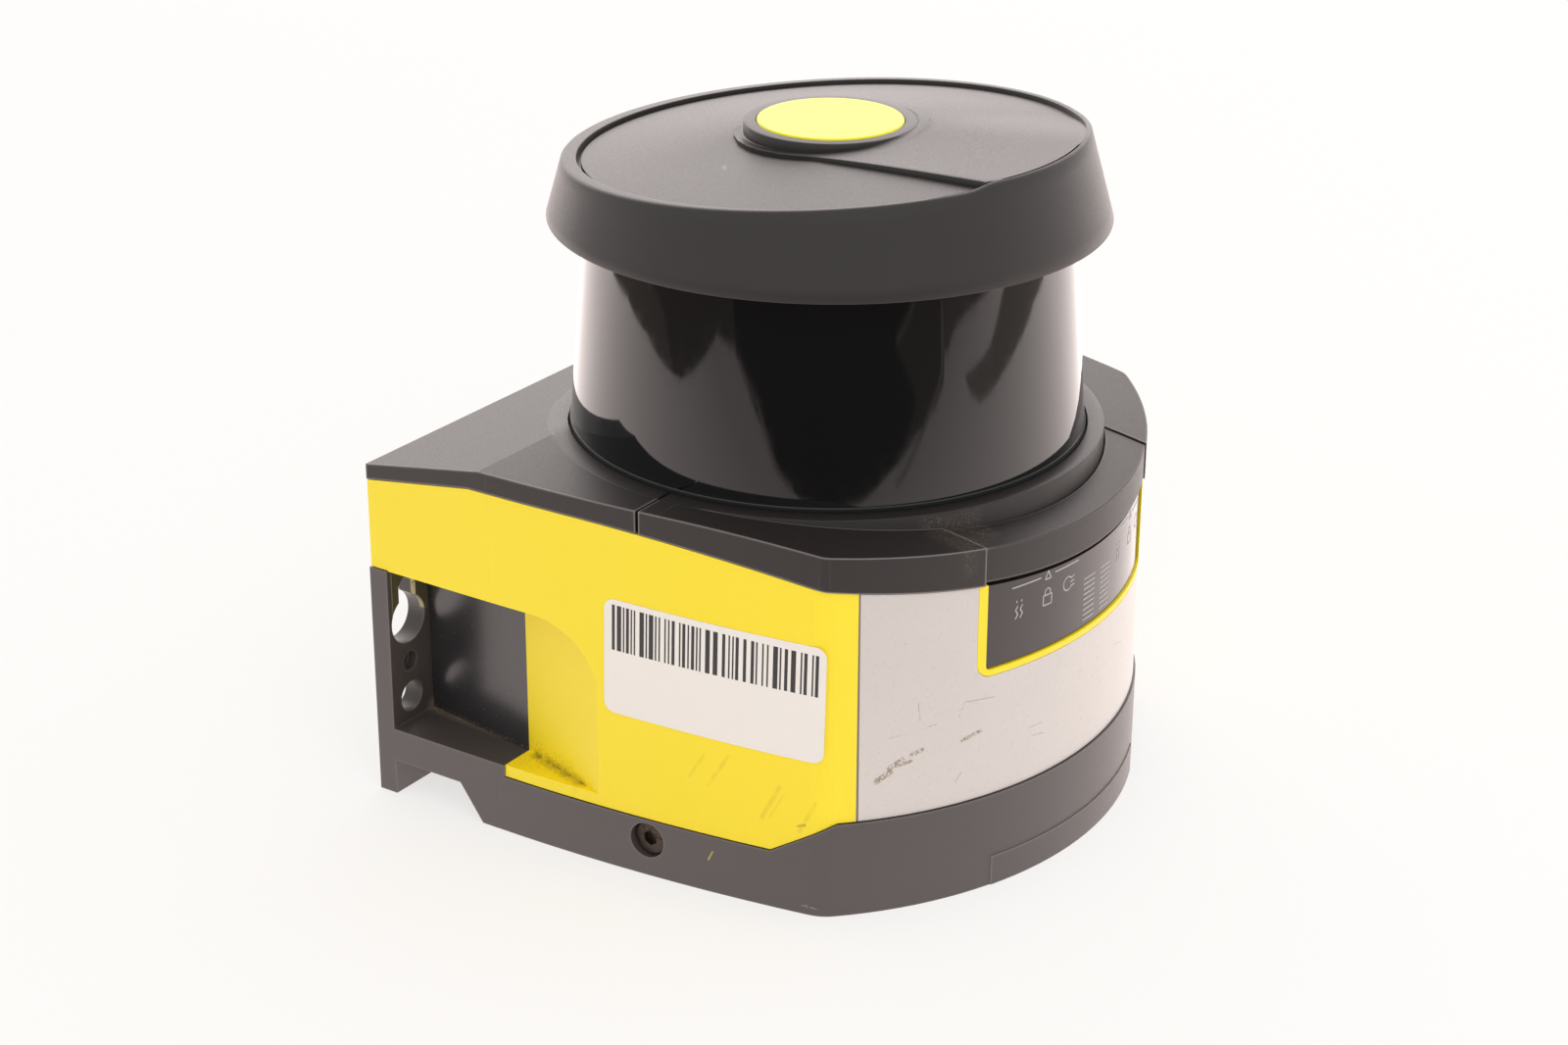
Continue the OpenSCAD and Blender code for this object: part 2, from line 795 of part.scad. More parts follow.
module front_label() {
    color("#ddd8d1") intersection() {
        linear_extrude(line_h) plan(label_inset, side_inset);
        label_space();
        side_prism(body_w) above_base_side();
        below_line(0.1);
    }
}

module display_panel() {
    color("#1c1c1f") intersection() {
        translate([0, front_bow_y, 0]) tall_ring(display_r, display_r - display_t);
        front_prism() display_outline();
        below_line(0.4);
    }
}

module tall_ring(r_out, r_in) {
    difference() {
        cylinder(r = r_out, h = cover_h, $fn = BIG_FN);
        translate([0, 0, -1]) cylinder(r = r_in, h = cover_h + 2, $fn = BIG_FN);
    }
}

module display_board() {
    depth = display_r - display_t - shadow_gap;
    back = front_bow_y - sqrt(depth * depth - 24 * 24);
    color("#2e6b4a") {
        translate([-24, back, display_z + 2]) cube([48, board_t, 10]);
        for (side = [-1, 0, 1]) translate([side * 16 - 4, back - 0.8 - 1.2 * (1 - abs(side)), display_z + 4])
            cube([8, 1 + 1.2 * (1 - abs(side)), 6]);
    }
}

// ---- Covers ----

module cover_shell() {
    difference() {
        intersection() {
            linear_extrude(cover_h + 1) plan(cover_inset, shadow_gap, cover_corner_r);
            below_cover();
        }
        below_line(-shadow_gap);
        intersection() {
            linear_extrude(cover_h) plan(housing_wall + label_inset + 0.4, housing_wall + side_inset + 0.4, cover_corner_r);
            below_cover(cover_wall);
        }
        on_axis() cylinder(r = ring_r + shadow_gap, h = cover_h + 1);
    }
}

module rear_cover() {
    color("#3a393b") intersection() {
        cover_shell();
        translate([-half_w, seam_y + seam / 2, 0]) cube([body_w, body_d, cover_h + 1]);
    }
}

hood_x = hood_w / 2;

module front_cover() {
    color("#3a393b") intersection() {
        cover_shell();
        translate([-half_w, front_y, 0])
            cube([half_w - hood_x - seam / 4, seam_y - seam / 2 - front_y, cover_h + 1]);
    }
}

module front_cover_left() {
    front_cover();
}

module front_cover_right() {
    mirror([1, 0, 0]) front_cover();
}

module display_hood() {
    color("#3f3d3e") difference() {
        intersection() {
            linear_extrude(cover_h + 1) plan(cover_inset + hood_inset, hood_inset, cover_corner_r);
            below_cover(hood_inset);
            translate([-hood_x + seam / 4, front_y, 0])
                cube([hood_w - seam / 2, body_d / 4, cover_h + 1]);
        }
        below_line(-hood_gap);
        intersection() {
            linear_extrude(cover_h) plan(housing_wall + label_inset + 0.4, housing_wall + side_inset + 0.4, cover_corner_r);
            below_cover(cover_wall + hood_inset);
        }
        on_axis() cylinder(r = ring_r + shadow_gap, h = cover_h + 1);
    }
}

// ---- Window ----

module window_ring() {
    color("#343335") on_axis(seal_z) ring(ring_r, ring_in_r, cover_h - seal_z);
}

module window_seal() {
    color("#202022") on_axis(seal_z) ring(window_foot_r, window_foot_r - window_t, seal_t);
}

module window() {
    top = groove_z;
    color("#0d0d10") on_axis() rotate_extrude(convexity = 6)
        polygon([[window_foot_r, window_foot_z], [window_foot_r, window_z - 0.6],
            [window_r, window_z], [window_end_r, top], [window_end_r - window_t, top],
            [window_r - window_t, window_z], [window_foot_r - window_t, window_z - 2],
            [window_foot_r - window_t, window_foot_z]]);
}

// ---- Cap ----

// A slab whose top lies a rise above the rim's tilted plane.
module below_rim(rise = 0) {
    front = rim_z + rise - rim_fall * (-cap_r - 5);
    rear = rim_z + rise - rim_fall * (cap_r + 5);
    on_axis() side_prism(2 * cap_r + 10)
        polygon([[-cap_r - 5, cap_z - 10], [cap_r + 5, cap_z - 10], [cap_r + 5, rear], [-cap_r - 5, front]]);
}

// The part of the cap's top that is recessed: a circle less the raised sector.
module cap_floor_plan() {
    step_foot = (cap_rim_r + 5) * unit(step_angle);
    fade = (cap_rim_r + 5) * unit(-180 - step_angle);
    difference() {
        circle(r = cap_rim_r - lip_w);
        polygon([step_foot, boss_r * unit(190), boss_r * unit(-20), fade]);
    }
}

module cap() {
    color("#3b3a3b") on_axis() difference() {
        union() {
            intersection() {
                translate([0, 0, cap_z])
                    cylinder(r1 = cap_r, r2 = cap_r - 40 * cap_fall, h = 40, $fn = BIG_FN);
                translate([0, axis_y, 0]) below_rim();
            }
            translate([0, 0, rim_z - 6]) cylinder(r = boss_r, h = boss_z - rim_z + 6);
        }
        difference() {
            linear_extrude(total_h + 5) cap_floor_plan();
            translate([0, axis_y, 0]) below_rim(-floor_drop);
        }
        translate([0, 0, boss_z - disc_t + disc_rise]) cylinder(r = disc_r + 0.1, h = 5);
        translate([0, 0, cap_z - 1]) cylinder(r = window_end_r + 0.4, h = groove_z - cap_z + 1);
        translate([0, 0, cap_z]) cylinder(r = cap_room_r, h = holder_z + holder_t + tube_h + 3 - cap_z);
    }
}

module cap_disc() {
    color("#f2e21f") on_axis(total_h - disc_t) cylinder(r = disc_r, h = disc_t);
}

// ---- Inside ----

module board(z) {
    translate([-board_w / 2, board_rear_y - board_d, z]) cube([board_w, board_d, board_t]);
}

module spacer_places() {
    for (x = [-1, 1], y = [-1, 1])
        translate([x * (board_w / 2 - 6), board_y + y * (board_d / 2 - 12), 0]) children();
}

module main_board() {
    color("#1f6b3f") {
        board(main_board_z);
        translate([-14, board_y - 18, main_board_z + board_t]) cube([28, 28, 2.6]);
        translate([-20, board_rear_y - 22, main_board_z + board_t]) cube([16, 12, 1.6]);
        translate([6, board_rear_y - 20, main_board_z + board_t]) cube([18, 8, 6]);
    }
}

module power_board() {
    color("#2a5f8a") {
        board(power_board_z);
        for (x = [-22, 0, 22])
            translate([x, board_rear_y - 16, power_board_z + board_t]) cylinder(r = 5, h = 9);
        translate([-26, board_y - 26, power_board_z + board_t]) cube([22, 20, 8]);
    }
}

module board_spacers() {
    color("#b8b09a") spacer_places() {
        translate([0, 0, bottom_z + bottom_t]) cylinder(r = 3, h = spacer_h);
        translate([0, 0, main_board_z + board_t]) cylinder(r = 3, h = spacer_h);
    }
}

module motor_plate_screw_places(z) {
    for (a = [45:90:315]) rotate(a) translate([plate_screw_r, 0, z]) children();
}

module motor_plate() {
    color("#9ea1a4") on_axis() difference() {
        union() {
            translate([0, 0, deck_h]) cylinder(r = window_foot_r - window_t - 1, h = motor_plate_t);
            translate([0, 0, hub_foot_z]) cylinder(r = hub_r, h = hub_top_z - hub_foot_z);
        }
        translate([0, 0, hub_foot_z - 1]) cylinder(r = shaft_r + 1.5, h = 60);
        translate([0, 0, hub_foot_z - 1]) cylinder(r = bearing_r, h = bearing_w + 1);
        translate([0, 0, hub_top_z - bearing_w]) cylinder(r = bearing_r, h = bearing_w + 1);
        motor_plate_screw_places(deck_h - 1) cylinder(r = 1.6, h = motor_plate_t + 2);
    }
}

module motor_plate_screws() {
    color("#a8a7a2") on_axis() motor_plate_screw_places(motor_plate_z)
        mirror([0, 0, 1]) translate([0, 0, -1.8]) screw(2.8, 1.8, 1.4, 9);
}

module bearing(z) {
    color("#b9bcc0") on_axis(z) ring(bearing_r, shaft_r + run_fit, bearing_w);
}

module lower_bearing() {
    bearing(hub_foot_z);
}

module upper_bearing() {
    bearing(hub_top_z - bearing_w);
}

module motor_stator() {
    slots = 9;
    color("#a2602f") on_axis(stator_z) difference() {
        ring(stator_r, hub_r, stator_h);
        for (i = [0:slots - 1]) rotate(i * 360 / slots)
            translate([stator_r - 5, -0.8, -1]) cube([8, 1.6, stator_h + 2]);
    }
}

module encoder_sensor() {
    arm_z = carrier_z - encoder_t - run_gap - 1.5;
    color("#27282b") on_axis() rotate(-150) difference() {
        translate([encoder_r - 3.6, -5, motor_plate_z])
            cube([8.6, 10, carrier_z + run_gap + 2 - motor_plate_z]);
        translate([encoder_r - 5, -6, carrier_z - encoder_t - run_gap])
            cube([5 + run_gap, 12, encoder_t + 2 * run_gap]);
        translate([encoder_r - 5, -6, motor_plate_z + 3]) cube([4, 12, arm_z - motor_plate_z - 3]);
    }
}

module head_column() {
    color("#55575a") on_axis(motor_plate_z) intersection() {
        ring(column_r, column_r - column_t, holder_z - motor_plate_z);
        translate([-column_w / 2, 0, 0]) cube([column_w, column_r + 5, holder_z]);
    }
}

module optics_holder() {
    color("#4a4c50") on_axis(holder_z) ring(holder_r, lens_r - 1.5, holder_t);
}

module receiver_tube() {
    color("#2a2a2c") on_axis(holder_z + holder_t) ring(lens_r + 2, lens_r, tube_h);
}

module receiver_lens() {
    color("#b7c6cf") on_axis(holder_z + holder_t) intersection() {
        ring(lens_r, 4.2, 4);
        translate([0, 0, 4 - lens_curve_r]) sphere(r = lens_curve_r);
    }
}

module receiver_board() {
    color("#1f6b3f") on_axis(holder_z + holder_t + tube_h) cylinder(r = cap_room_r - 4, h = board_t);
}

module laser_module() {
    color("#b08d3c") on_axis(holder_z + 1) cylinder(r = 4, h = holder_t - 1 + tube_h);
}

// ---- Rotor ----

module motor_shaft() {
    color("#c8cacc") on_axis(hub_foot_z - 1.5)
        cylinder(r = shaft_r, h = carrier_z + carrier_foot - hub_foot_z + 1.5);
}

module rotor_bell() {
    color("#8f9295") on_axis() difference() {
        translate([0, 0, bell_z]) cylinder(r = bell_r, h = bell_top_z - bell_z);
        translate([0, 0, bell_z - 1])
            cylinder(r = bell_r - bell_t, h = bell_top_z - bell_t - bell_z + 1);
        translate([0, 0, bell_z]) cylinder(r = shaft_r, h = bell_top_z);
    }
}

module rotor_magnet() {
    color("#3c3d42") on_axis(bell_z + 1) ring(bell_r - bell_t, magnet_r, stator_h + 1);
}

module encoder_disc() {
    windows = 24;
    color("#c3cbd0") on_axis(bell_top_z) difference() {
        ring(encoder_r, shaft_r, encoder_t);
        for (i = [0:windows - 1]) rotate(i * 360 / windows)
            translate([encoder_r - 3.5, -0.7, -1]) cube([2.4, 1.4, encoder_t + 2]);
    }
}

// All that lies above the 45 degree plane through the scan centre, raised by a lift.
module above_mirror_plane(lift) {
    translate([0, 0, scan_z + lift]) rotate([45, 0, 0]) translate([-100, -100, 0])
        cube([200, 200, 200]);
}

module mirror_carrier() {
    color("#2c2d30") on_axis() difference() {
        translate([0, 0, carrier_z]) cylinder(r = mirror_r, h = carrier_foot + 2 * mirror_r);
        above_mirror_plane(0);
        translate([0, 0, carrier_z - 1]) cylinder(r = shaft_r, h = carrier_foot + 1);
    }
}

module scan_mirror() {
    color("#dfe5ea") on_axis() intersection() {
        translate([0, 0, carrier_z]) cylinder(r = mirror_r, h = 4 * mirror_r);
        difference() {
            above_mirror_plane(0);
            above_mirror_plane(mirror_t * sqrt(2));
        }
    }
}

connection_unit();
keyhole_insert_left();
keyhole_insert_right();
locking_screws();
lock_blocks();
socket();
terminal_block();
cable_grommets();
housing();
recess_panel_left();
recess_panel_right();
bottom_plate();
bottom_screws();
plug();
front_label();
display_panel();
display_board();
rear_cover();
front_cover_left();
front_cover_right();
display_hood();
window_ring();
window_seal();
window();
cap();
cap_disc();
main_board();
power_board();
board_spacers();
motor_plate();
motor_plate_screws();
lower_bearing();
upper_bearing();
motor_stator();
encoder_sensor();
head_column();
optics_holder();
receiver_lens();
receiver_tube();
receiver_board();
laser_module();
motor_shaft();
rotor_bell();
rotor_magnet();
encoder_disc();
mirror_carrier();
scan_mirror();
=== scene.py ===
"""Safety laser scanner: finishes, printed details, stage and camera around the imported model."""

import math
import random

import bmesh
import bpy
from mathutils import Matrix, Vector


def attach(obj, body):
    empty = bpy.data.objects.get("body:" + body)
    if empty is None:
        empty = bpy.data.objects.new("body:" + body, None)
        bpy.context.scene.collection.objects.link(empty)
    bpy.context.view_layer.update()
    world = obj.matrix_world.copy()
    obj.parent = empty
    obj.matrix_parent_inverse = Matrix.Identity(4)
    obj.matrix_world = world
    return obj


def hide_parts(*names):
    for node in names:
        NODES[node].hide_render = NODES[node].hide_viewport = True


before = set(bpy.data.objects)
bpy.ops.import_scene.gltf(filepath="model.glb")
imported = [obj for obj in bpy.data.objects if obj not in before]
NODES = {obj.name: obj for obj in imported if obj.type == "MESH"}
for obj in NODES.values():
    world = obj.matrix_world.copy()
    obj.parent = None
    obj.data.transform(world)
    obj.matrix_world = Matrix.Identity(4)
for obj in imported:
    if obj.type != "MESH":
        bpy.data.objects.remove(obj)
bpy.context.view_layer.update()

bl_info = {
    "name": "Safety Laser Scanner",
    "version": (1, 0, 0),
    "blender": (4, 5, 0),
    "location": "View3D > Sidebar > Scanner",
    "description": "Finishes, printed details, stage and camera of a safety laser scanner",
    "category": "Object",
}

MM = 0.001
SCANNER = "scanner"

# Plan of the unit, in metres: bowed sides, bowed front and the scan axis.
HALF_WIDTH = 0.070
SIDE_BOW = 0.415
SIDE_BOW_Y = 0.037
FRONT_BOW_Y = 0.014
SCAN_AXIS = Vector((0.0, -0.002, 0.0))
# Millimetres: radius of the front's skin, and middle and width of the seam between the rear and front covers.
FRONT_SKIN = 83.2
SEAM_Y, SEAM = -0.4, 0.8


def linear(code):
    """The linear colour of an sRGB hex code."""
    parts = [int(code[i : i + 2], 16) / 255 for i in (1, 3, 5)]
    return tuple(c / 12.92 if c <= 0.04045 else ((c + 0.055) / 1.055) ** 2.4 for c in parts)


def colour_property(name, description, code):
    return bpy.props.FloatVectorProperty(
        name=name, description=description, subtype="COLOR", size=3, min=0, max=1, default=linear(code)
    )


def length_property(name, description, millimetres):
    return bpy.props.FloatProperty(
        name=name, description=description, unit="LENGTH", min=0, precision=5, default=millimetres * MM
    )


class ScannerColours(bpy.types.PropertyGroup):
    """Colours of the scanner's finishes."""

    casting: colour_property("Casting", "Paint of the connection unit", "#474140")
    housing: colour_property("Housing", "Moulded yellow of the housing", "#FFE21A")
    cover: colour_property("Covers", "Black of the covers and the cap", "#231E1D")
    disc: colour_property("Disc", "Lemon yellow of the cap's disc", "#F8EE00")
    film: colour_property("Front label", "Silver film on the front", "#CBC5C0")
    panel: colour_property("Display panel", "Dark print behind the display's glossy skin", "#322B2A")
    signs: colour_property("Signs", "Light grey print on the display panel", "#B7B4B2")
    window: colour_property("Window", "Dye of the near-black optics window", "#0A0A0B")
    cheek: colour_property("Cheeks", "Dark plastic of the recess panels", "#2F2E2F")
    vinyl: colour_property("Sticker", "White vinyl of the side sticker", "#F1E9E2")
    ink: colour_property("Ink", "Black print of the sticker's bars", "#1E1C1E")
    dust: colour_property("Dust", "Tan workshop dust", "#96846F")
    grime: colour_property("Grime", "Dark grime where hands and dust rub", "#3A3226")


class ScannerSizes(bpy.types.PropertyGroup):
    """Sizes of the pieces that the scene adds, and of the rounded edges."""

    sticker_width: length_property("Sticker width", "Length of the sticker along the side", 50.2)
    sticker_height: length_property("Sticker height", "Height of the sticker", 26)
    sticker_corner: length_property("Sticker corner", "Radius of the sticker's corners", 2.4)
    sticker_thickness: length_property("Sticker thickness", "Thickness of the vinyl", 0.12)
    sign_stroke: length_property("Sign stroke", "Line width of the signs on the display panel", 0.28)
    casting_edge: length_property("Casting edge", "Rounding of the casting's edges", 0.7)
    moulded_edge: length_property("Moulded edge", "Rounding of the plastic parts' edges", 0.45)


# ---- Materials ----


def add(tree, kind, inputs=None, **settings):
    """Adds one shader node, with its settings, its values and its links."""
    made = tree.nodes.new("ShaderNode" + kind)
    for key, value in settings.items():
        setattr(made, key, value)
    for key, value in (inputs or {}).items():
        if isinstance(value, bpy.types.NodeSocket):
            tree.links.new(value, made.inputs[key])
        else:
            made.inputs[key].default_value = value
    return made


def rgba(colour):
    return (*colour[:3], 1.0)


def mottled(tree, colour, share, scale):
    """The colour with a slow lighter and darker cloud in it."""
    where = add(tree, "TexCoord").outputs["Object"]
    cloud = add(tree, "TexNoise", {"Vector": where, "Scale": scale, "Detail": 4.0, "Roughness": 0.6})
    dark = [c * (1 - share) for c in colour[:3]]
    light = [min(1.0, c * (1 + share)) for c in colour[:3]]
    return add(
        tree, "Mix", {0: cloud.outputs["Fac"], 6: rgba(dark), 7: rgba(light)}, data_type="RGBA"
    ).outputs[2]


def finish(name, colour, roughness, *, grain=0.35, depth=0.012, mottle=0.04, spread=0.06, metallic=0.0,
           layers=(), **shader):
    """A procedural material: a mottled colour, a grain in millimetres, and layers of wear, dirt, painted
    highlights and painted shade on top.

    Each layer takes the tree and gives a mask socket, a colour and a roughness.
    """
    made = bpy.data.materials.new(name)
    made.use_nodes = True
    tree = made.node_tree
    tree.nodes.clear()
    where = add(tree, "TexCoord").outputs["Object"]
    grains = add(
        tree, "TexNoise", {"Vector": where, "Scale": 1 / (grain * MM), "Detail": 3.0, "Roughness": 0.55}
    )
    skin = mottled(tree, colour, mottle, 45.0)
    rough = add(
        tree, "MapRange",
        {"Value": grains.outputs["Fac"], "From Min": 0.3, "From Max": 0.7,
         "To Min": roughness - spread, "To Max": roughness + spread},
    ).outputs["Result"]
    for layer in layers:
        mask, tint, matt = layer(tree)
        skin = add(tree, "Mix", {0: mask, 6: skin, 7: rgba(tint)}, data_type="RGBA").outputs[2]
        rough = add(tree, "Mix", {0: mask, 2: rough, 3: matt}, data_type="FLOAT").outputs[0]
    bump = add(tree, "Bump", {"Height": grains.outputs["Fac"], "Strength": 0.5, "Distance": depth * MM})
    body = add(
        tree, "BsdfPrincipled",
        {"Base Color": skin, "Roughness": rough, "Metallic": metallic, "Normal": bump.outputs["Normal"]},
    )
    for key, value in shader.items():
        body.inputs[key.replace("_", " ")].default_value = value
    add(tree, "OutputMaterial", {"Surface": body.outputs["BSDF"]})
    made.diffuse_color = rgba(colour)
    return made


def overlap(tree, mask, other):
    """The part of one mask that lies in another, or a share of the mask."""
    return add(tree, "Math", {0: mask, 1: other}, operation="MULTIPLY", use_clamp=True).outputs[0]


def either(tree, mask, other):
    """A mask of all that at least one of two masks takes in."""
    return add(tree, "Math", {0: mask, 1: other}, operation="MAXIMUM", use_clamp=True).outputs[0]


def near_box(tree, low, high, fade):
    """A mask that is 1 inside a box in millimetres, and fades out around it."""
    where = add(tree, "TexCoord").outputs["Object"]
    parts = add(tree, "SeparateXYZ", {0: where})
    mask = None
    for axis in range(3):
        place = parts.outputs[axis]
        for limit, sign in ((low[axis], -1), (high[axis], 1)):
            if limit is None:
                continue
            edge = add(
                tree, "MapRange",
                {"Value": place, "From Min": limit * MM, "From Max": (limit + sign * fade) * MM,
                 "To Min": 1.0, "To Max": 0.0},
                clamp=True, interpolation_type="SMOOTHSTEP",
            ).outputs["Result"]
            mask = edge if mask is None else overlap(tree, mask, edge)
    return mask


def speckle(tree, size, threshold, softness=0.04, detail=6.0, stretch=(1, 1, 1)):
    """A mask of scattered specks or blots of a size in millimetres."""
    where = add(tree, "TexCoord").outputs["Object"]
    turned = add(tree, "Mapping", {"Vector": where, "Scale": stretch})
    noise = add(
        tree, "TexNoise",
        {"Vector": turned.outputs["Vector"], "Scale": 1 / (size * MM), "Detail": detail, "Roughness": 0.62},
    )
    return add(
        tree, "MapRange",
        {"Value": noise.outputs["Fac"], "From Min": threshold, "From Max": threshold + softness},
        clamp=True,
    ).outputs["Result"]


def patch(low, high, fade, size, threshold, tint, strength, matt=0.8, softness=0.04):
    """A layer of specks that stays near one box."""

    def layer(tree):
        blots = speckle(tree, size, threshold, softness)
        mask = overlap(tree, near_box(tree, low, high, fade), blots)
        return overlap(tree, mask, strength), tint, matt

    return layer


def specks(size, threshold, tint, strength, matt=0.7, stretch=(1, 1, 1), softness=0.03):
    """A layer of small marks all over."""

    def layer(tree):
        mask = speckle(tree, size, threshold, softness, 5.0, stretch)
        return overlap(tree, mask, strength), tint, matt

    return layer


def scratches(lines, tint, strength, matt=0.6, ragged=0.45, grain=0.5, soft=False):
    """A layer of ragged marks; each line has two ends and a half width, in millimetres."""
    core = 0.0 if soft else 0.5

    def layer(tree):
        where = add(tree, "TexCoord").outputs["Object"]
        mask = None
        for start, end, width in lines:
            a, b = Vector(start) * MM, Vector(end) * MM
            along = b - a
            from_a = add(tree, "VectorMath", {0: where, 1: a}, operation="SUBTRACT").outputs["Vector"]
            gone = add(
                tree, "VectorMath", {0: from_a, 1: along / along.length_squared}, operation="DOT_PRODUCT"
            ).outputs["Value"]
            gone = add(tree, "Clamp", {"Value": gone}).outputs["Result"]
            nearest = add(tree, "VectorMath", {0: along, "Scale": gone}, operation="SCALE").outputs["Vector"]
            off = add(tree, "VectorMath", {0: from_a, 1: nearest}, operation="DISTANCE").outputs["Value"]
            line = add(
                tree, "MapRange",
                {"Value": off, "From Min": width * MM, "From Max": width * core * MM}, clamp=True,
            ).outputs["Result"]
            mask = line if mask is None else either(tree, mask, line)
        broken = speckle(tree, grain, ragged, 0.3 if soft else 0.12)
        return overlap(tree, overlap(tree, mask, broken), strength), tint, matt

    return layer


def painted_edge_highlight(width, tint, strength, matt=0.4):
    """A painted highlight along sharp edges: a lighter colour where the rounded edges would catch the light.
    """

    def layer(tree):
        turned = add(tree, "Bevel", {"Radius": width * MM}, samples=8).outputs["Normal"]
        flat = add(tree, "NewGeometry").outputs["True Normal"]
        straight = add(tree, "VectorMath", {0: turned, 1: flat}, operation="DOT_PRODUCT").outputs["Value"]
        mask = add(
            tree, "MapRange", {"Value": straight, "From Min": 0.985, "From Max": 0.88}, clamp=True
        ).outputs["Result"]
        return overlap(tree, mask, strength), tint, matt

    return layer


def give(node, material):
    """Puts one material on a CAD node."""
    slots = NODES[node].data.materials
    slots.clear()
    slots.append(material)


def give_plain(finishes):
    """Gives each node its own plain finish: a name, a colour, a roughness and how metallic it is."""
    for node, (name, code, roughness, metallic) in finishes.items():
        give(node, finish(name, linear(code), roughness, metallic=metallic, spread=0.03))


def round_edges(node, width, segments=3, angle=32):
    """Rounds a CAD node's edges with modifiers, on its merged triangles."""
    piece = NODES[node]
    weld = piece.modifiers.new("merged", "WELD")
    weld.merge_threshold = 0.004 * MM
    flat = piece.modifiers.new("flat_faces", "DECIMATE")
    flat.decimate_type = "DISSOLVE"
    flat.angle_limit = math.radians(0.25)
    bevel = piece.modifiers.new("rounded", "BEVEL")
    bevel.width = width
    bevel.segments = segments
    bevel.limit_method = "ANGLE"
    bevel.angle_limit = math.radians(angle)
    bevel.harden_normals = True
    bevel.miter_outer = "MITER_ARC"
    bevel.use_clamp_overlap = True
    normals = piece.modifiers.new("normals", "WEIGHTED_NORMAL")
    normals.keep_sharp = True


# ---- Shapes ----


def new_piece(name, mesh, material, smooth=False):
    """Turns a bmesh into a piece that rides on the scanner."""
    data = bpy.data.meshes.new(name)
    mesh.to_mesh(data)
    mesh.free()
    data.materials.append(material)
    if smooth:
        data.shade_smooth()
    piece = bpy.data.objects.new(name, data)
    bpy.context.scene.collection.objects.link(piece)
    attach(piece, SCANNER)
    return piece


def face_outwards(mesh):
    """Turns the faces of a closed shape outwards."""
    bmesh.ops.recalc_face_normals(mesh, faces=mesh.faces[:])
    if mesh.calc_volume(signed=True) < 0:
        bmesh.ops.reverse_faces(mesh, faces=mesh.faces[:])


def side_x(y):
    """Half width of the bowed side at a place along it."""
    return math.sqrt(SIDE_BOW**2 - (y - SIDE_BOW_Y) ** 2) - (SIDE_BOW - HALF_WIDTH)


def on_side(y, z):
    """A place on the bowed left side, in millimetres."""
    return (-side_x(y * MM) / MM, y, z)


def on_front(angle, z):
    """A place on the bowed front, in millimetres; the angle runs to the right from the middle."""
    turn = math.radians(angle)
    return (FRONT_SKIN * math.sin(turn), FRONT_BOW_Y / MM - FRONT_SKIN * math.cos(turn), z)


def smooth(x):
    """Runs from 0 to 1 with soft ends."""
    x = max(0.0, min(1.0, x))
    return x * x * (3 - 2 * x)


def mix(a, b, share):
    return a + (b - a) * share


def flat_strip(mesh, start, end, width):
    """Adds a straight stroke, drawn in the plane, to a flat drawing that faces up."""
    a, b = Vector(start), Vector(end)
    across = (b - a).orthogonal().normalized() * width / 2
    corners = [mesh.verts.new((*p, 0.0)) for p in (a - across, b - across, b + across, a + across)]
    mesh.faces.new(corners)


def stroke(mesh, points, width):
    """Adds a line through several points to a flat drawing."""
    for a, b in zip(points, points[1:]):
        flat_strip(mesh, a, b, width)


def arc(centre, radius, start, end, steps=10):
    """Points on an arc, in degrees."""
    turns = [math.radians(start + (end - start) * i / steps) for i in range(steps + 1)]
    return [(centre[0] + radius * math.cos(t), centre[1] + radius * math.sin(t)) for t in turns]


def rounded_rectangle(mesh, width, height, corner, segments=6):
    """A flat rectangle around the origin with round corners."""
    bmesh.ops.create_grid(mesh, x_segments=1, y_segments=1, size=0.5)
    bmesh.ops.scale(mesh, vec=(width, height, 1), verts=mesh.verts)
    bmesh.ops.bevel(
        mesh, geom=mesh.verts[:], offset=corner, offset_type="OFFSET", affect="VERTICES",
        segments=segments, profile=0.5, material=-1,
    )


class ScannerOperator(bpy.types.Operator):
    """Base of the scanner's operators."""

    bl_options = {"REGISTER", "UNDO"}

    @property
    def colours(self):
        return bpy.context.scene.scanner_colours

    @property
    def sizes(self):
        return bpy.context.scene.scanner_sizes


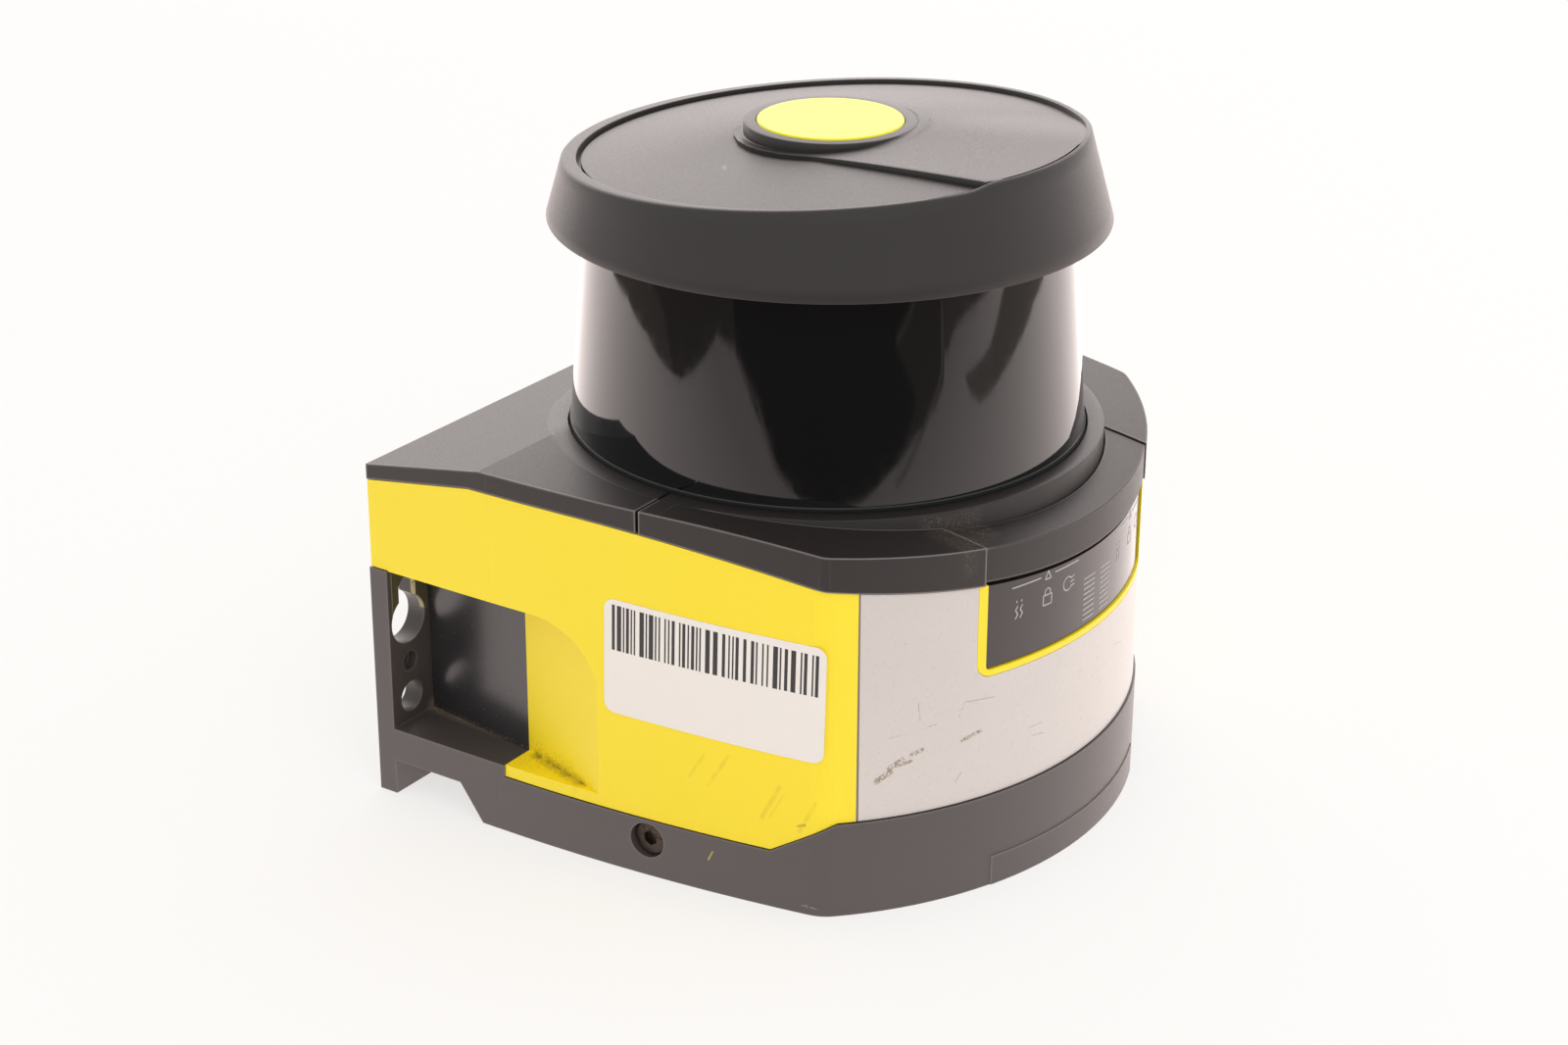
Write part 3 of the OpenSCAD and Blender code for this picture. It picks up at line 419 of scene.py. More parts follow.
class SCANNER_OT_connection_unit(ScannerOperator):
    """Paints the casting, its screws, inserts and grommets."""

    bl_idname = "scanner.connection_unit"
    bl_label = "Connection Unit"

    def execute(self, context):
        c = self.colours
        # The low pad in front of the base: its half width, its height and its outline, along which a faint
        # lighter line is painted to lift the shade in its corners.
        half, rise, skin = 31, 6.8, 84.0
        around = [(x, FRONT_BOW_Y / MM - math.sqrt(skin**2 - x**2), rise) for x in range(-half, half + 1, 6)]
        pad = [(a, b, 0.3) for a, b in zip(around, around[1:])]
        pad += [((x, around[0][1], 0.0), (x, around[0][1], rise), 0.3) for x in (-half, half)]
        # Painted die casting: a satin, finely textured paint, with dust on the shelves of the side recesses,
        # a faint lighter line painted over the shade along the low pad's outline, and a painted highlight
        # along its edges.
        paint = finish(
            "textured_paint_on_cast_aluminium", c.casting, 0.42, grain=0.4, depth=0.02, mottle=0.05,
            layers=(
                scratches([((-56, 65.5, 15.9), (-57.5, 44, 15.9), 3.4)], linear("#A8957C"), 0.95,
                          matt=0.9, ragged=0.36, grain=0.4, soft=True),
                patch((55, 33, 15), (63, 67, 16.6), 3, 0.5, 0.5, c.dust, 0.7),
                specks(2.2, 0.78, c.dust, 0.25),
                specks(0.9, 0.8, linear("#999795"), 0.4),
                scratches([(on_side(-16.5, 7.5), on_side(-17.5, 9.6), 0.25)], linear("#B5A850"), 0.8,
                          ragged=0.3),
                scratches([(on_side(-38.0, 2.0), on_side(-44.0, 1.4), 0.3)], linear("#B5ACA6"), 0.7,
                          ragged=0.48),
                # Painted light: a faint lighter line along the pad's outline lifts the shade in the corner at
                # its foot.
                scratches(pad, linear("#9C9390"), 0.28, ragged=0.0),
                # Painted highlight: a lighter colour along the casting's edges.
                painted_edge_highlight(0.8, linear("#7A716E"), 0.45),
            ),
        )
        give("connection_unit", paint)
        round_edges("connection_unit", self.sizes.casting_edge)
        # Olive passivated steel: a satin metal with a green-brown cast.
        olive = finish(
            "olive_passivated_steel", linear("#8C8868"), 0.38, grain=0.8, depth=0.01, mottle=0.12,
            metallic=0.9, layers=(specks(1.5, 0.6, linear("#5C5638"), 0.5),),
        )
        for node in ("keyhole_insert_left", "keyhole_insert_right"):
            give(node, olive)
            round_edges(node, 0.2 * MM, 2)
        # Turned steel, brown and painted darker, with darker blotches, as painted shade where the screw heads
        # sit deep in their holes.
        steel = finish(
            "turned_steel_in_painted_shade", linear("#3A3029"), 0.45, grain=0.5, depth=0.02, mottle=0.2, metallic=0.7,
            layers=(specks(0.7, 0.5, linear("#1A1410"), 0.85, softness=0.15),),
        )
        give("locking_screws", steel)
        round_edges("locking_screws", 0.25 * MM, 2)
        give("lock_blocks", finish("milled_steel", linear("#8D8F92"), 0.4, metallic=1.0))
        give("socket", finish("glass_filled_nylon_black", linear("#2B2C2E"), 0.55))
        give("terminal_block", finish("nylon_green", linear("#3D7D56"), 0.5))
        give("cable_grommets", finish("nitrile_rubber", linear("#1D1D1E"), 0.75, depth=0.02))
        return {"FINISHED"}


class SCANNER_OT_housing(ScannerOperator):
    """Finishes the yellow housing and the dark cheeks of its recesses."""

    bl_idname = "scanner.housing"
    bl_label = "Housing"

    def execute(self, context):
        c = self.colours
        rub = linear("#C79A1E")
        # Moulded yellow plastic: an even satin texture, with grime in the scoops, and soft rubs and small
        # brown marks at the low front corner.
        yellow = finish(
            "textured_moulded_yellow_plastic", c.housing, 0.46, grain=0.3, depth=0.012, mottle=0.015,
            layers=(
                scratches([((-62.4, 31, 15.2), (-66.9, 16, 15.2), 2.5)], c.grime, 0.95, ragged=0.28,
                          grain=2.2, soft=True),
                patch((-66.5, 20, 15), (-58, 32, 18), 2.5, 0.5, 0.52, c.grime, 0.35, softness=0.1),
                scratches([((62.4, 31, 15.2), (66.9, 16, 15.2), 2.3)], c.grime, 0.75, ragged=0.33,
                          grain=2.2, soft=True),
                scratches([(on_side(-28.6, 20.4), on_side(-32.6, 28.2), 0.8),
                           (on_side(-30.4, 20.8), on_side(-33.6, 27.0), 0.5),
                           (on_side(-16.4, 24.9), on_side(-21.2, 33.0), 0.7),
                           (on_side(-12.0, 26.0), on_side(-15.8, 32.1), 0.6),
                           (on_side(-40.4, 26.0), on_side(-37.0, 19.0), 0.8),
                           (on_side(-44.7, 53.4), on_side(-47.8, 54.4), 0.6),
                           (on_side(-41.7, 40.0), on_side(-42.9, 33.0), 0.7)],
                          rub, 0.5, ragged=0.3, grain=2.5, soft=True),
                scratches([(on_side(-48.7, 30.5), on_side(-49.2, 33.1), 0.4),
                           (on_side(-43.5, 57.7), on_side(-45.6, 58.1), 0.35),
                           (on_side(-36.6, 20.1), on_side(-38.2, 20.7), 0.5),
                           ((62.4, -42.0, 24.0), (63.6, -39.0, 25.0), 0.4)],
                          linear("#7A5A20"), 0.75, ragged=0.35),
                specks(3.4, 0.7, rub, 0.16, softness=0.06),
                specks(0.8, 0.82, c.grime, 0.5),
            ),
        )
        give("housing", yellow)
        round_edges("housing", self.sizes.moulded_edge)
        # Dark glossy moulding with fine rub marks that catch the light.
        cheek = finish(
            "polished_dark_plastic", c.cheek, 0.24, grain=0.6, depth=0.004, mottle=0.1, spread=0.03,
            layers=(
                patch((-70, 30, 14), (70, 67, 16.2), 0.8, 0.35, 0.55, c.dust, 0.5),
                specks(1.2, 0.66, linear("#6C6A68"), 0.35, stretch=(1, 0.6, 5)),
            ),
        )
        for node in ("recess_panel_left", "recess_panel_right"):
            give(node, cheek)
        for node in ("bottom_plate", "plug"):
            give(node, finish("glass_filled_nylon_" + node, linear("#35363A"), 0.55))
        give("bottom_screws", finish("zinc_plated_steel", linear("#A8A7A2"), 0.35, metallic=1.0))
        return {"FINISHED"}


class SCANNER_OT_front_label(ScannerOperator):
    """Finishes the silver film on the front, with its scratches and scuffs."""

    bl_idname = "scanner.front_label"
    bl_label = "Front Label"

    def execute(self, context):
        c = self.colours
        scuff = linear("#8A7660")
        # Silver polyester film: a fine sparkling grain under a satin skin, scuffed and finely scratched.
        film = finish(
            "silver_polyester_film", c.film, 0.42, grain=0.35, depth=0.01, mottle=0.03, metallic=0.25,
            layers=(
                specks(0.45, 0.58, linear("#B3ADA7"), 0.6, softness=0.1),
                scratches([(on_front(-40.2, 30.2), on_front(-38.2, 32.1), 0.9),
                           (on_front(-38.4, 32.7), on_front(-36.5, 34.4), 0.75),
                           (on_front(-37.4, 33.2), on_front(-35.2, 33.6), 0.55),
                           (on_front(-35.2, 35.0), on_front(-33.4, 35.8), 0.6),
                           (on_front(-27.1, 35.9), on_front(-24.0, 36.9), 0.6)], scuff, 0.85, ragged=0.42),
                scratches([(on_front(-38.4, 39.7), on_front(-31.3, 41.0), 0.16),
                           (on_front(-33.9, 42.6), on_front(-34.2, 46.5), 0.14),
                           (on_front(-26.8, 44.5), on_front(-21.7, 43.9), 0.2),
                           (on_front(-26.8, 44.5), on_front(-27.7, 41.5), 0.14),
                           (on_front(-15.0, 33.6), on_front(-12.3, 33.6), 0.2),
                           (on_front(-14.2, 31.5), on_front(-11.5, 30.8), 0.2),
                           (on_front(-28.0, 26.6), on_front(-27.1, 28.4), 0.2),
                           (on_front(24.0, 30.0), on_front(27.5, 31.6), 0.18),
                           (on_front(8.0, 40.2), on_front(12.0, 38.8), 0.14)], scuff, 0.55, ragged=0.4),
                scratches([(on_front(-43.0, 20), on_front(-43.12, 75), 0.33)], linear("#5A4636"), 0.85,
                          ragged=0.0),
                specks(0.9, 0.79, scuff, 0.4),
            ),
        )
        give("front_label", film)
        return {"FINISHED"}


class SCANNER_OT_display(ScannerOperator):
    """Finishes the display panel and prints its plain signs."""

    bl_idname = "scanner.display"
    bl_label = "Display"

    radius = 0.0827

    def wrap(self, mesh):
        """Wraps a flat drawing, in metres, round the display's cylinder."""
        out = self.radius + 0.04 * MM
        for v in mesh.verts:
            turn = v.co.x / self.radius
            v.co = Vector((out * math.sin(turn), FRONT_BOW_Y - out * math.cos(turn), v.co.y))

    def execute(self, context):
        c = self.colours
        # Polished polycarbonate over a dark print: glossy, with the print's soft black behind it.
        give("display_panel", finish(
            "polished_polycarbonate_over_dark_print", c.panel, 0.16, grain=1.2, depth=0.002, mottle=0.08,
            spread=0.03, layers=(specks(1.0, 0.76, linear("#6E6A68"), 0.4),),
        ))
        give("display_board", finish("solder_mask_green_display", linear("#2E6B4A"), 0.4))
        mesh = bmesh.new()
        pen = self.sizes.sign_stroke

        def at(angle, z):
            return (math.radians(angle) * self.radius, z * MM)

        def shape(points, angle, z, size=1.0):
            x, y = at(angle, z)
            stroke(mesh, [(x + px * size * MM, y + py * size * MM) for px, py in points], pen)

        for mid in (-11.6, 14.6):
            # A bracket with a small triangle in its middle, over three plain signs.
            stroke(mesh, [at(mid - 7.2, 66.9), at(mid - 1.5, 66.9)], pen)
            stroke(mesh, [at(mid + 1.5, 66.9), at(mid + 7.2, 66.9)], pen)
            shape([(-0.9, -0.8), (0.9, -0.8), (0, 1.0), (-0.9, -0.8)], mid, 66.9)
            for wave in (-0.65, 0.65):
                shape([(wave - 0.3, -1.9), (wave + 0.35, -0.9), (wave - 0.3, 0.1), (wave + 0.35, 1.0)],
                      mid - 5.8, 61.6)
                shape([(wave, 1.7), (wave, 2.2)], mid - 5.8, 61.6)
            shape([(-1.3, -1.7), (1.3, -1.7), (1.3, 0.5), (-1.3, 0.5), (-1.3, -1.7)], mid, 62.0)
            shape([(-0.85, 0.5), *arc((0, 1.1), 0.85, 180, 0), (0.85, 0.5)], mid, 62.0)
            shape(arc((0, 0), 1.5, 40, 320, 16), mid + 4.6, 62.8)
            for bar in (-0.9, 0.0, 0.9):
                shape([(0.9, bar), (2.3, bar * 1.1 + 0.3)], mid + 4.6, 62.8)
        for middle in (-1.15, 3.8):
            for row in range(9):
                z = 61.5 - row * 1.18
                stroke(mesh, [at(middle - 1.6, z), at(middle + 1.6, z)], pen)
        bmesh.ops.subdivide_edges(mesh, edges=[e for e in mesh.edges if e.calc_length() > 0.0015], cuts=3)
        self.wrap(mesh)
        # Screen-printed ink: matt and slightly raised.
        ink = finish("screen_printed_light_grey_ink", c.signs, 0.5, grain=0.2, mottle=0.03)
        new_piece("display_signs", mesh, ink)
        return {"FINISHED"}


class SCANNER_OT_covers(ScannerOperator):
    """Finishes the rear cover, the front covers and the display hood."""

    bl_idname = "scanner.covers"
    bl_label = "Covers"

    def execute(self, context):
        c = self.colours
        # Spark-eroded black moulding: matt, with pale dust caught in its grain, and a painted highlight along
        # its edges.
        matt = finish(
            "textured_moulded_black_plastic", c.cover, 0.46, grain=0.35, depth=0.02, mottle=0.06,
            layers=(
                patch((-38, -60, 74), (-27, -52, 84), 2, 0.3, 0.5, c.dust, 0.5, softness=0.2),
                specks(0.6, 0.79, linear("#8C8680"), 0.4),
                # Painted highlight: a lighter colour along the covers' edges.
                painted_edge_highlight(0.8, linear("#8E847F"), 0.75),
            ),
            Specular_IOR_Level=0.42,
        )
        for node in ("rear_cover", "front_cover_left", "front_cover_right", "display_hood"):
            give(node, matt)
            round_edges(node, self.sizes.moulded_edge)
        return {"FINISHED"}


class SCANNER_OT_window(ScannerOperator):
    """Finishes the optics window, its ring and its seal."""

    bl_idname = "scanner.window"
    bl_label = "Window"

    # Millimetres: the ring's bore and outside, its foot and top, the line that its seam and slope follow
    # half way across, and the depth of the slit that carries the covers' seam through it.
    bore, outside, foot, top, middle, slit = 56.3, 60.0, 66.2, 83.2, 59, 1.2

    def cover_top(self, y):
        """Height of the covers' top: bowed in front, flat over the middle and sloped behind."""
        return self.top - max(0.0, -5 - y) ** 2 / 650 - max(0.0, y - 39) * math.tan(math.radians(9.9))

    def turns(self):
        """Directions of the ring's columns: even all round, and close together at the seam's edges."""
        even = [math.radians(2 * i) for i in range(180)]
        edges = [SEAM_Y + side * SEAM / 2 + shift for side in (-1, 1) for shift in (-0.03, 0.03)]
        for edge in edges:
            turn = math.asin((edge - SCAN_AXIS.y / MM) / self.middle)
            even += [turn, math.pi - turn]
        return sorted(t % (2 * math.pi) for t in even)

    def section(self, turn):
        """The ring's outline at a direction, as radii and heights from the bore's foot outwards."""
        y_mid = self.middle * math.sin(turn) + SCAN_AXIS.y / MM
        flush = smooth((y_mid + 14) / 8)
        slit = self.slit if abs(y_mid - SEAM_Y) < SEAM / 2 else 0.0
        outside = self.outside + 0.9 * flush
        outline = [(self.bore, self.foot)]
        skin = ((self.bore, 0.2), (self.bore + 0.06, 0.06), (self.bore + 0.2, 0), (outside - 1.5, 0),
                (outside - 0.3, 0), (outside - 0.1, mix(0.08, 0.01, flush)), (outside, mix(0.3, 0.04, flush)))
        for r, below in skin:
            z = self.cover_top(r * math.sin(turn) + SCAN_AXIS.y / MM) if y_mid > 0 else self.top
            outline.append((r, z + 0.03 * flush - slit - below))
        outline.append((outside, mix(self.foot, z - 1.2, flush)))
        return outline

    def shape_ring(self, mesh):
        """A ring that stands clear of the front covers and is flush with the rear cover's top."""
        columns = [(turn, self.section(turn)) for turn in self.turns()]
        count, rows = len(columns), len(columns[0][1]) - 1
        bmesh.ops.create_grid(mesh, x_segments=count, y_segments=rows, size=0.5)
        for v in mesh.verts:
            turn, outline = columns[round((v.co.x + 0.5) * count) % count]
            r, z = outline[round((v.co.y + 0.5) * rows)]
            v.co = SCAN_AXIS + Vector((r * math.cos(turn), r * math.sin(turn), z)) * MM
        bmesh.ops.remove_doubles(mesh, verts=mesh.verts[:], dist=0.002 * MM)
        bmesh.ops.recalc_face_normals(mesh, faces=mesh.faces[:])

    def execute(self, context):
        c = self.colours
        # Infrared-passing polycarbonate: near black to the eye, polished, with faint lighter vertical
        # streaks, and its foot, up to just over the ring's top, painted near black and matt as painted shade.
        glass = finish(
            "polished_infrared_polycarbonate", c.window, 0.045, grain=2.5, depth=0.0006, mottle=0.2,
            spread=0.015,
            layers=(
                specks(2.0, 0.72, linear("#4A4644"), 0.25, matt=0.25, stretch=(1, 1, 0.12), softness=0.1),
                specks(0.6, 0.8, linear("#8A8580"), 0.4),
                # Painted shade: the window below 83.6 mm is painted near black and matt, so no light band
                # shows along the ring.
                patch((None, None, None), (None, None, 83.6), 0.5, 1, 0.0, linear("#060505"), 1.0, matt=1.0),
            ),
            IOR=1.58,
        )
        give("window", glass)
        # The covers' spark-eroded black moulding, with dust on its front.
        ring = finish(
            "textured_moulded_black_plastic_ring", c.cover, 0.45, grain=0.35, depth=0.015, mottle=0.06,
            layers=(
                patch((-38, -62, 76), (-27, -50, 81.5), 2, 0.3, 0.5, c.dust, 0.45, softness=0.2),
                specks(0.6, 0.79, linear("#8C8680"), 0.35),
            ),
        )
        mesh = bmesh.new()
        self.shape_ring(mesh)
        rim = new_piece("window_rim", mesh, ring, smooth=True)
        rim.data.set_sharp_from_angle(angle=math.radians(38))
        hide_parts("window_ring")
        give("window_seal", finish("silicone_rubber_seal", linear("#0D0C0C"), 0.8))
        return {"FINISHED"}


class SCANNER_OT_cap(ScannerOperator):
    """Shapes the cap's spiral top, and finishes it and its yellow disc."""

    bl_idname = "scanner.cap"
    bl_label = "Cap"

    # Millimetres, about the scan axis: radii of the boss, of the floor's edge and of the rim, and heights of
    # the foot, of the raised sector's top and of the rim's tilted plane, with its slope.
    boss, floor_edge, rim_r = 18.3, 53.3, 54.0
    foot, top, rim_z, rim_slope = 128.7, 148.8, 144.3, 0.0704
    # The side's radius at its foot, and how much it draws in over each millimetre of height.
    side, side_slope = 60, 0.28205
    # The step winds off the boss between two radii, from a direction through an angle in degrees, and then
    # runs straight to the rim, at a distance from the axis.
    wind_from, wind_to, wind_start, wind_angle, step_off = 19.8, 21.8, 110, 93.4, 20
    # Degrees: the raised sector's reach past the step, and the direction from which it sinks to the rim.
    sector, sink_from, sink_over = 150, -75, 35
    # Depths of the floor and of the groove under the rim, and the groove's radii.
    sunk, groove, groove_in, groove_out = 1.0, 0.8, 52.3, 53.25
    columns = 184

    def step_turn(self, r):
        """Direction of the step at a radius: it winds off the boss and then runs straight to the rim."""
        if r < self.wind_to:
            wound = (r - self.wind_from) / (self.wind_to - self.wind_from)
            return self.wind_start + self.wind_angle * smooth(wound)
        return 180 + math.degrees(math.acos(self.step_off / min(r, self.rim_r)))

    def rim(self, r, turn):
        """Height of the rim's tilted plane."""
        return self.rim_z - self.rim_slope * r * math.sin(math.radians(turn))

    def side_r(self, z):
        """Radius of the side at a height."""
        return self.side - self.side_slope * (z - self.foot)

    def sinking(self, a):
        """Runs from 0 to 1 where the raised sector sinks to the rim; the direction runs from -180 to 180."""
        return smooth((a - self.sink_from) / self.sink_over)

    def floor(self, r, turn, past):
        """Height of the spiral floor; past is the angle gone since the step."""
        a = (turn + 180) % 360 - 180
        inner = 147.25 + 1.37 * math.cos(math.radians(turn + 50))
        edge = self.rim(self.floor_edge, turn)
        if past < self.sector:
            outer = mix(self.top, edge - self.sunk, self.sinking(a)) if a < 110 else self.top
        else:
            inner -= 0.45 * smooth((turn - 470) / 60)
            left = turn % 360
            rise = smooth((left - 190) / 55) * (1 - smooth((left - 300) / 30))
            outer = edge - mix(self.sunk, 0.4, rise)
        share = max(0.0, min(1.0, (r - self.boss) / (self.floor_edge - self.boss)))
        z = mix(inner, outer, share)
        return z - self.groove if past > self.sector and self.groove_in < r < self.groove_out else z

    def lip(self, r, turn):
        """Height of the rim, which rises to the sector's top in front."""
        a = (turn + 180) % 360 - 180
        raised = smooth((a + 117) / 8) * (1 - self.sinking(a))
        return mix(self.rim(r, turn), self.top, raised)

    def stations(self):
        """The profile: each station has a kind, a place across the profile, and a height or a lift."""
        winding = [self.wind_from + 0.2 * i for i in range(11)]
        floor = [18.6, 19.2, *winding, 22.6, 24, 26, *range(29, 48, 3), 49.5, 51.5, 52.28, 52.34, 53.2]
        # The disc's seat and the boss round it, the floor, the rim's lip, its outer edge and the cap's side.
        profile = [("flat", 0, 148.0), ("flat", 15.6, 148.0), ("flat", 15.62, 148.55),
                   ("flat", 15.75, 148.68), ("flat", 17.9, 148.68), ("flat", 18.15, 148.6),
                   ("flat", 18.28, 148.42), ("boss", 18.32, 0.18)]
        profile += [("floor", r, 0) for r in floor]
        profile += [("lip", 53.3, -0.25), ("lip", 53.36, -0.08), ("lip", 53.5, 0), ("lip", 53.75, 0),
                    ("edge", -0.9, 0), ("edge", -0.42, -0.07), ("edge", -0.12, -0.25), ("edge", 0, -0.6)]
        profile += [("side", share, 0) for share in (0.15, 0.35, 0.6, 0.85, 1.0)]
        # The underside: the foot, the seat of the window and the room over it.
        profile += [("flat", 59.85, 128.82), ("flat", 59.6, 128.7), ("flat", 52.2, 128.7),
                    ("flat", 52.2, 131.1), ("flat", 27, 131.1), ("flat", 27, 139.1), ("flat", 0, 139.1)]
        return profile

    def point(self, station, turn, past, below):
        """Radius and height of a station in a direction; below is the depth under the step's raised side."""
        kind, at, lift = station
        if kind == "flat":
            return at, lift
        if kind == "boss":
            return at, min(self.floor(at, turn, past) + lift, 148.4)
        if kind == "floor":
            z = min(self.floor(at, turn, past), self.top)
            return at, max(self.floor(at, turn, 360.0), z - below) if below else z
        if kind == "lip":
            z = self.lip(at, turn)
            return at, max(z + lift, min(z, self.floor(self.floor_edge, turn, past)))
        # The line where the rim meets the side.
        z = self.lip(self.rim_r, turn)
        for _ in range(3):
            z = self.lip(self.side_r(z), turn)
        if kind == "edge":
            return self.side_r(z if at else z + lift) + at, z + lift
        z = mix(z - 0.5, 129.0, at)
        return self.side_r(z), z

    def shape(self, mesh):
        """Maps a grid of columns round the axis and stations along the profile to the cap's skin."""
        stations = self.stations()
        rows, columns = len(stations) - 1, self.columns
        bmesh.ops.create_grid(mesh, x_segments=columns, y_segments=rows, size=0.5)
        # The last columns stand close together and make the step's wall: each has its shift across the
        # step, and how far it lies below the raised side, or None on the low side.
        wall = {columns: (0.4, 0.0), columns - 1: (0.14, 0.06), columns - 2: (0.0, 0.3),
                columns - 3: (-0.06, None), columns - 4: (-0.4, None), 0: (0.4, 0.0)}
        for v in mesh.verts:
            column = round((v.co.x + 0.5) * columns)
            station = stations[round((v.co.y + 0.5) * rows)]
            kind, at, _ = station
            radius = self.rim_r if kind in ("edge", "side") else max(at, 0.001)
            gone = 360.0 * min(column, columns - 4) / (columns - 4)
            shift, below = wall.get(column, (0.0, None))
            turn = self.step_turn(radius) + gone + math.degrees(shift / max(radius, 18.0))
            past = gone if below is None else 0.0
            r, z = self.point(station, turn, past, below)
            a = math.radians(turn)
            v.co = SCAN_AXIS + Vector((r * math.cos(a), r * math.sin(a), z)) * MM
        bmesh.ops.remove_doubles(mesh, verts=mesh.verts[:], dist=0.002 * MM)
        face_outwards(mesh)

    def execute(self, context):
        c = self.colours
        # Spark-eroded black moulding, as the covers, with soft marks of handling.
        matt = finish(
            "textured_moulded_black_plastic_cap", c.cover, 0.43, grain=0.35, depth=0.02, mottle=0.07,
            layers=(
                scratches([((-31, 3.6, 145.6), (-29, 5.2, 145.6), 1.2)], linear("#D0C8C0"), 0.8, ragged=0.42),
                specks(0.6, 0.79, linear("#8C8680"), 0.4),
                specks(3.0, 0.72, linear("#3C3836"), 0.3, stretch=(1, 1, 0.5)),
            ),
        )
        mesh = bmesh.new()
        self.shape(mesh)
        cap = new_piece("cap_shell", mesh, matt, smooth=True)
        cap.data.set_sharp_from_angle(angle=math.radians(38))
        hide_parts("cap")
        # Moulded lemon-yellow disc: smooth, a little glossier than the cap.
        give("cap_disc", finish(
            "moulded_lemon_yellow_plastic", c.disc, 0.4, grain=0.5, depth=0.004, mottle=0.02,
        ))
        round_edges("cap_disc", 0.6 * MM, 4)
        return {"FINISHED"}


class SCANNER_OT_sticker(ScannerOperator):
    """Adds the white sticker with its plain bars to the housing's left side."""

    bl_idname = "scanner.sticker"
    bl_label = "Side Sticker"

    # Metres and degrees: the sticker's middle along Y and Z, its tilt, and how far the housing's wall lies
    # behind the plan.
    middle, tilt, side_inset = (-0.0172, 0.0489), -1.25, 0.0003
    # Metres: ends of the bars along the sticker, from its middle.
    bars_start, bars_end = -0.0232, 0.0232

    def place(self, mesh, lift):
        """Lays a flat drawing, wide along the side and high along Z, on the bowed side."""
        middle_y, middle_z = self.middle
        turned = Matrix.Rotation(math.radians(self.tilt), 3, "Z")
        for v in mesh.verts:
            p = turned @ v.co
            y = middle_y - p.x
            x = -(side_x(y) - self.side_inset + lift + v.co.z)
            v.co = Vector((x, y, middle_z + p.y))

    def execute(self, context):
        c, s = self.colours, self.sizes
        # White vinyl: smooth and slightly glossy, a little yellowed and rubbed.
        vinyl = finish("white_vinyl_film", c.vinyl, 0.38, grain=0.8, depth=0.003, mottle=0.02,
                       layers=(specks(1.6, 0.74, linear("#B8AEA4"), 0.5),))
        mesh = bmesh.new()
        rounded_rectangle(mesh, s.sticker_width, s.sticker_height, s.sticker_corner)
        cuts = 24
        cut_width = s.sticker_width / cuts
        for i in range(1, cuts):
            bmesh.ops.bisect_plane(
                mesh, geom=mesh.verts[:] + mesh.edges[:] + mesh.faces[:],
                plane_co=(-s.sticker_width / 2 + i * cut_width, 0, 0), plane_no=(1, 0, 0),
            )
        top = bmesh.ops.extrude_face_region(mesh, geom=mesh.faces[:])
        raised = [g for g in top["geom"] if isinstance(g, bmesh.types.BMVert)]
        bmesh.ops.translate(mesh, vec=(0, 0, s.sticker_thickness), verts=raised)
        self.place(mesh, 0.01 * MM)
        face_outwards(mesh)
        new_piece("side_sticker", mesh, vinyl)
        # Thermal-transfer print: plain bars of changing width, made from seeded draws.
        draw = random.Random(7)
        bars = bmesh.new()
        x, end = self.bars_start, self.bars_end
        while x < end:
            width = draw.choice((0.35, 0.35, 0.7, 1.05)) * MM
            bottom, top = 0.00175 + 0.00025 * (x / end), 0.0115 - 0.0003 * (x / end)
            corners = [(x, top), (x, bottom), (x + width, bottom), (x + width, top)]
            bars.faces.new([bars.verts.new((*p, 0.0)) for p in corners])
            x += width + draw.choice((0.4, 0.5, 0.7, 1.0)) * MM
        self.place(bars, s.sticker_thickness + 0.03 * MM)
        bmesh.ops.recalc_face_normals(bars, faces=bars.faces[:])
        for face in bars.faces:
            if face.normal.x > 0:
                face.normal_flip()
        ink = finish("thermal_transfer_ink", c.ink, 0.45, grain=0.3, mottle=0.05)
        new_piece("sticker_bars", bars, ink)
        return {"FINISHED"}


class SCANNER_OT_inner_parts(ScannerOperator):
    """Finishes the boards, optics and motor parts inside."""

    bl_idname = "scanner.inner_parts"
    bl_label = "Inner Parts"

    def execute(self, context):
        give_plain({
            "main_board": ("solder_mask_green", "#1F6B3F", 0.4, 0.0),
            "power_board": ("solder_mask_blue", "#2A5F8A", 0.4, 0.0),
            "board_spacers": ("natural_nylon", "#B8B09A", 0.5, 0.0),
            "motor_plate": ("machined_aluminium", "#9EA1A4", 0.35, 1.0),
            "motor_plate_screws": ("zinc_plated_steel_small", "#A8A7A2", 0.35, 1.0),
            "lower_bearing": ("ground_bearing_steel_lower", "#B9BCC0", 0.25, 1.0),
            "upper_bearing": ("ground_bearing_steel_upper", "#B9BCC0", 0.25, 1.0),
            "motor_stator": ("enamelled_copper_windings", "#A2602F", 0.35, 0.8),
            "encoder_sensor": ("black_epoxy", "#27282B", 0.5, 0.0),
            "head_column": ("anodised_aluminium_column", "#55575A", 0.45, 0.7),
            "optics_holder": ("anodised_aluminium_holder", "#4A4C50", 0.45, 0.7),
            "receiver_tube": ("anodised_aluminium_tube", "#2A2A2C", 0.5, 0.6),
            "receiver_lens": ("polished_optical_glass", "#B7C6CF", 0.06, 0.0),
            "receiver_board": ("solder_mask_green_receiver", "#1F6B3F", 0.4, 0.0),
            "laser_module": ("turned_brass", "#B08D3C", 0.3, 1.0),
        })
        return {"FINISHED"}


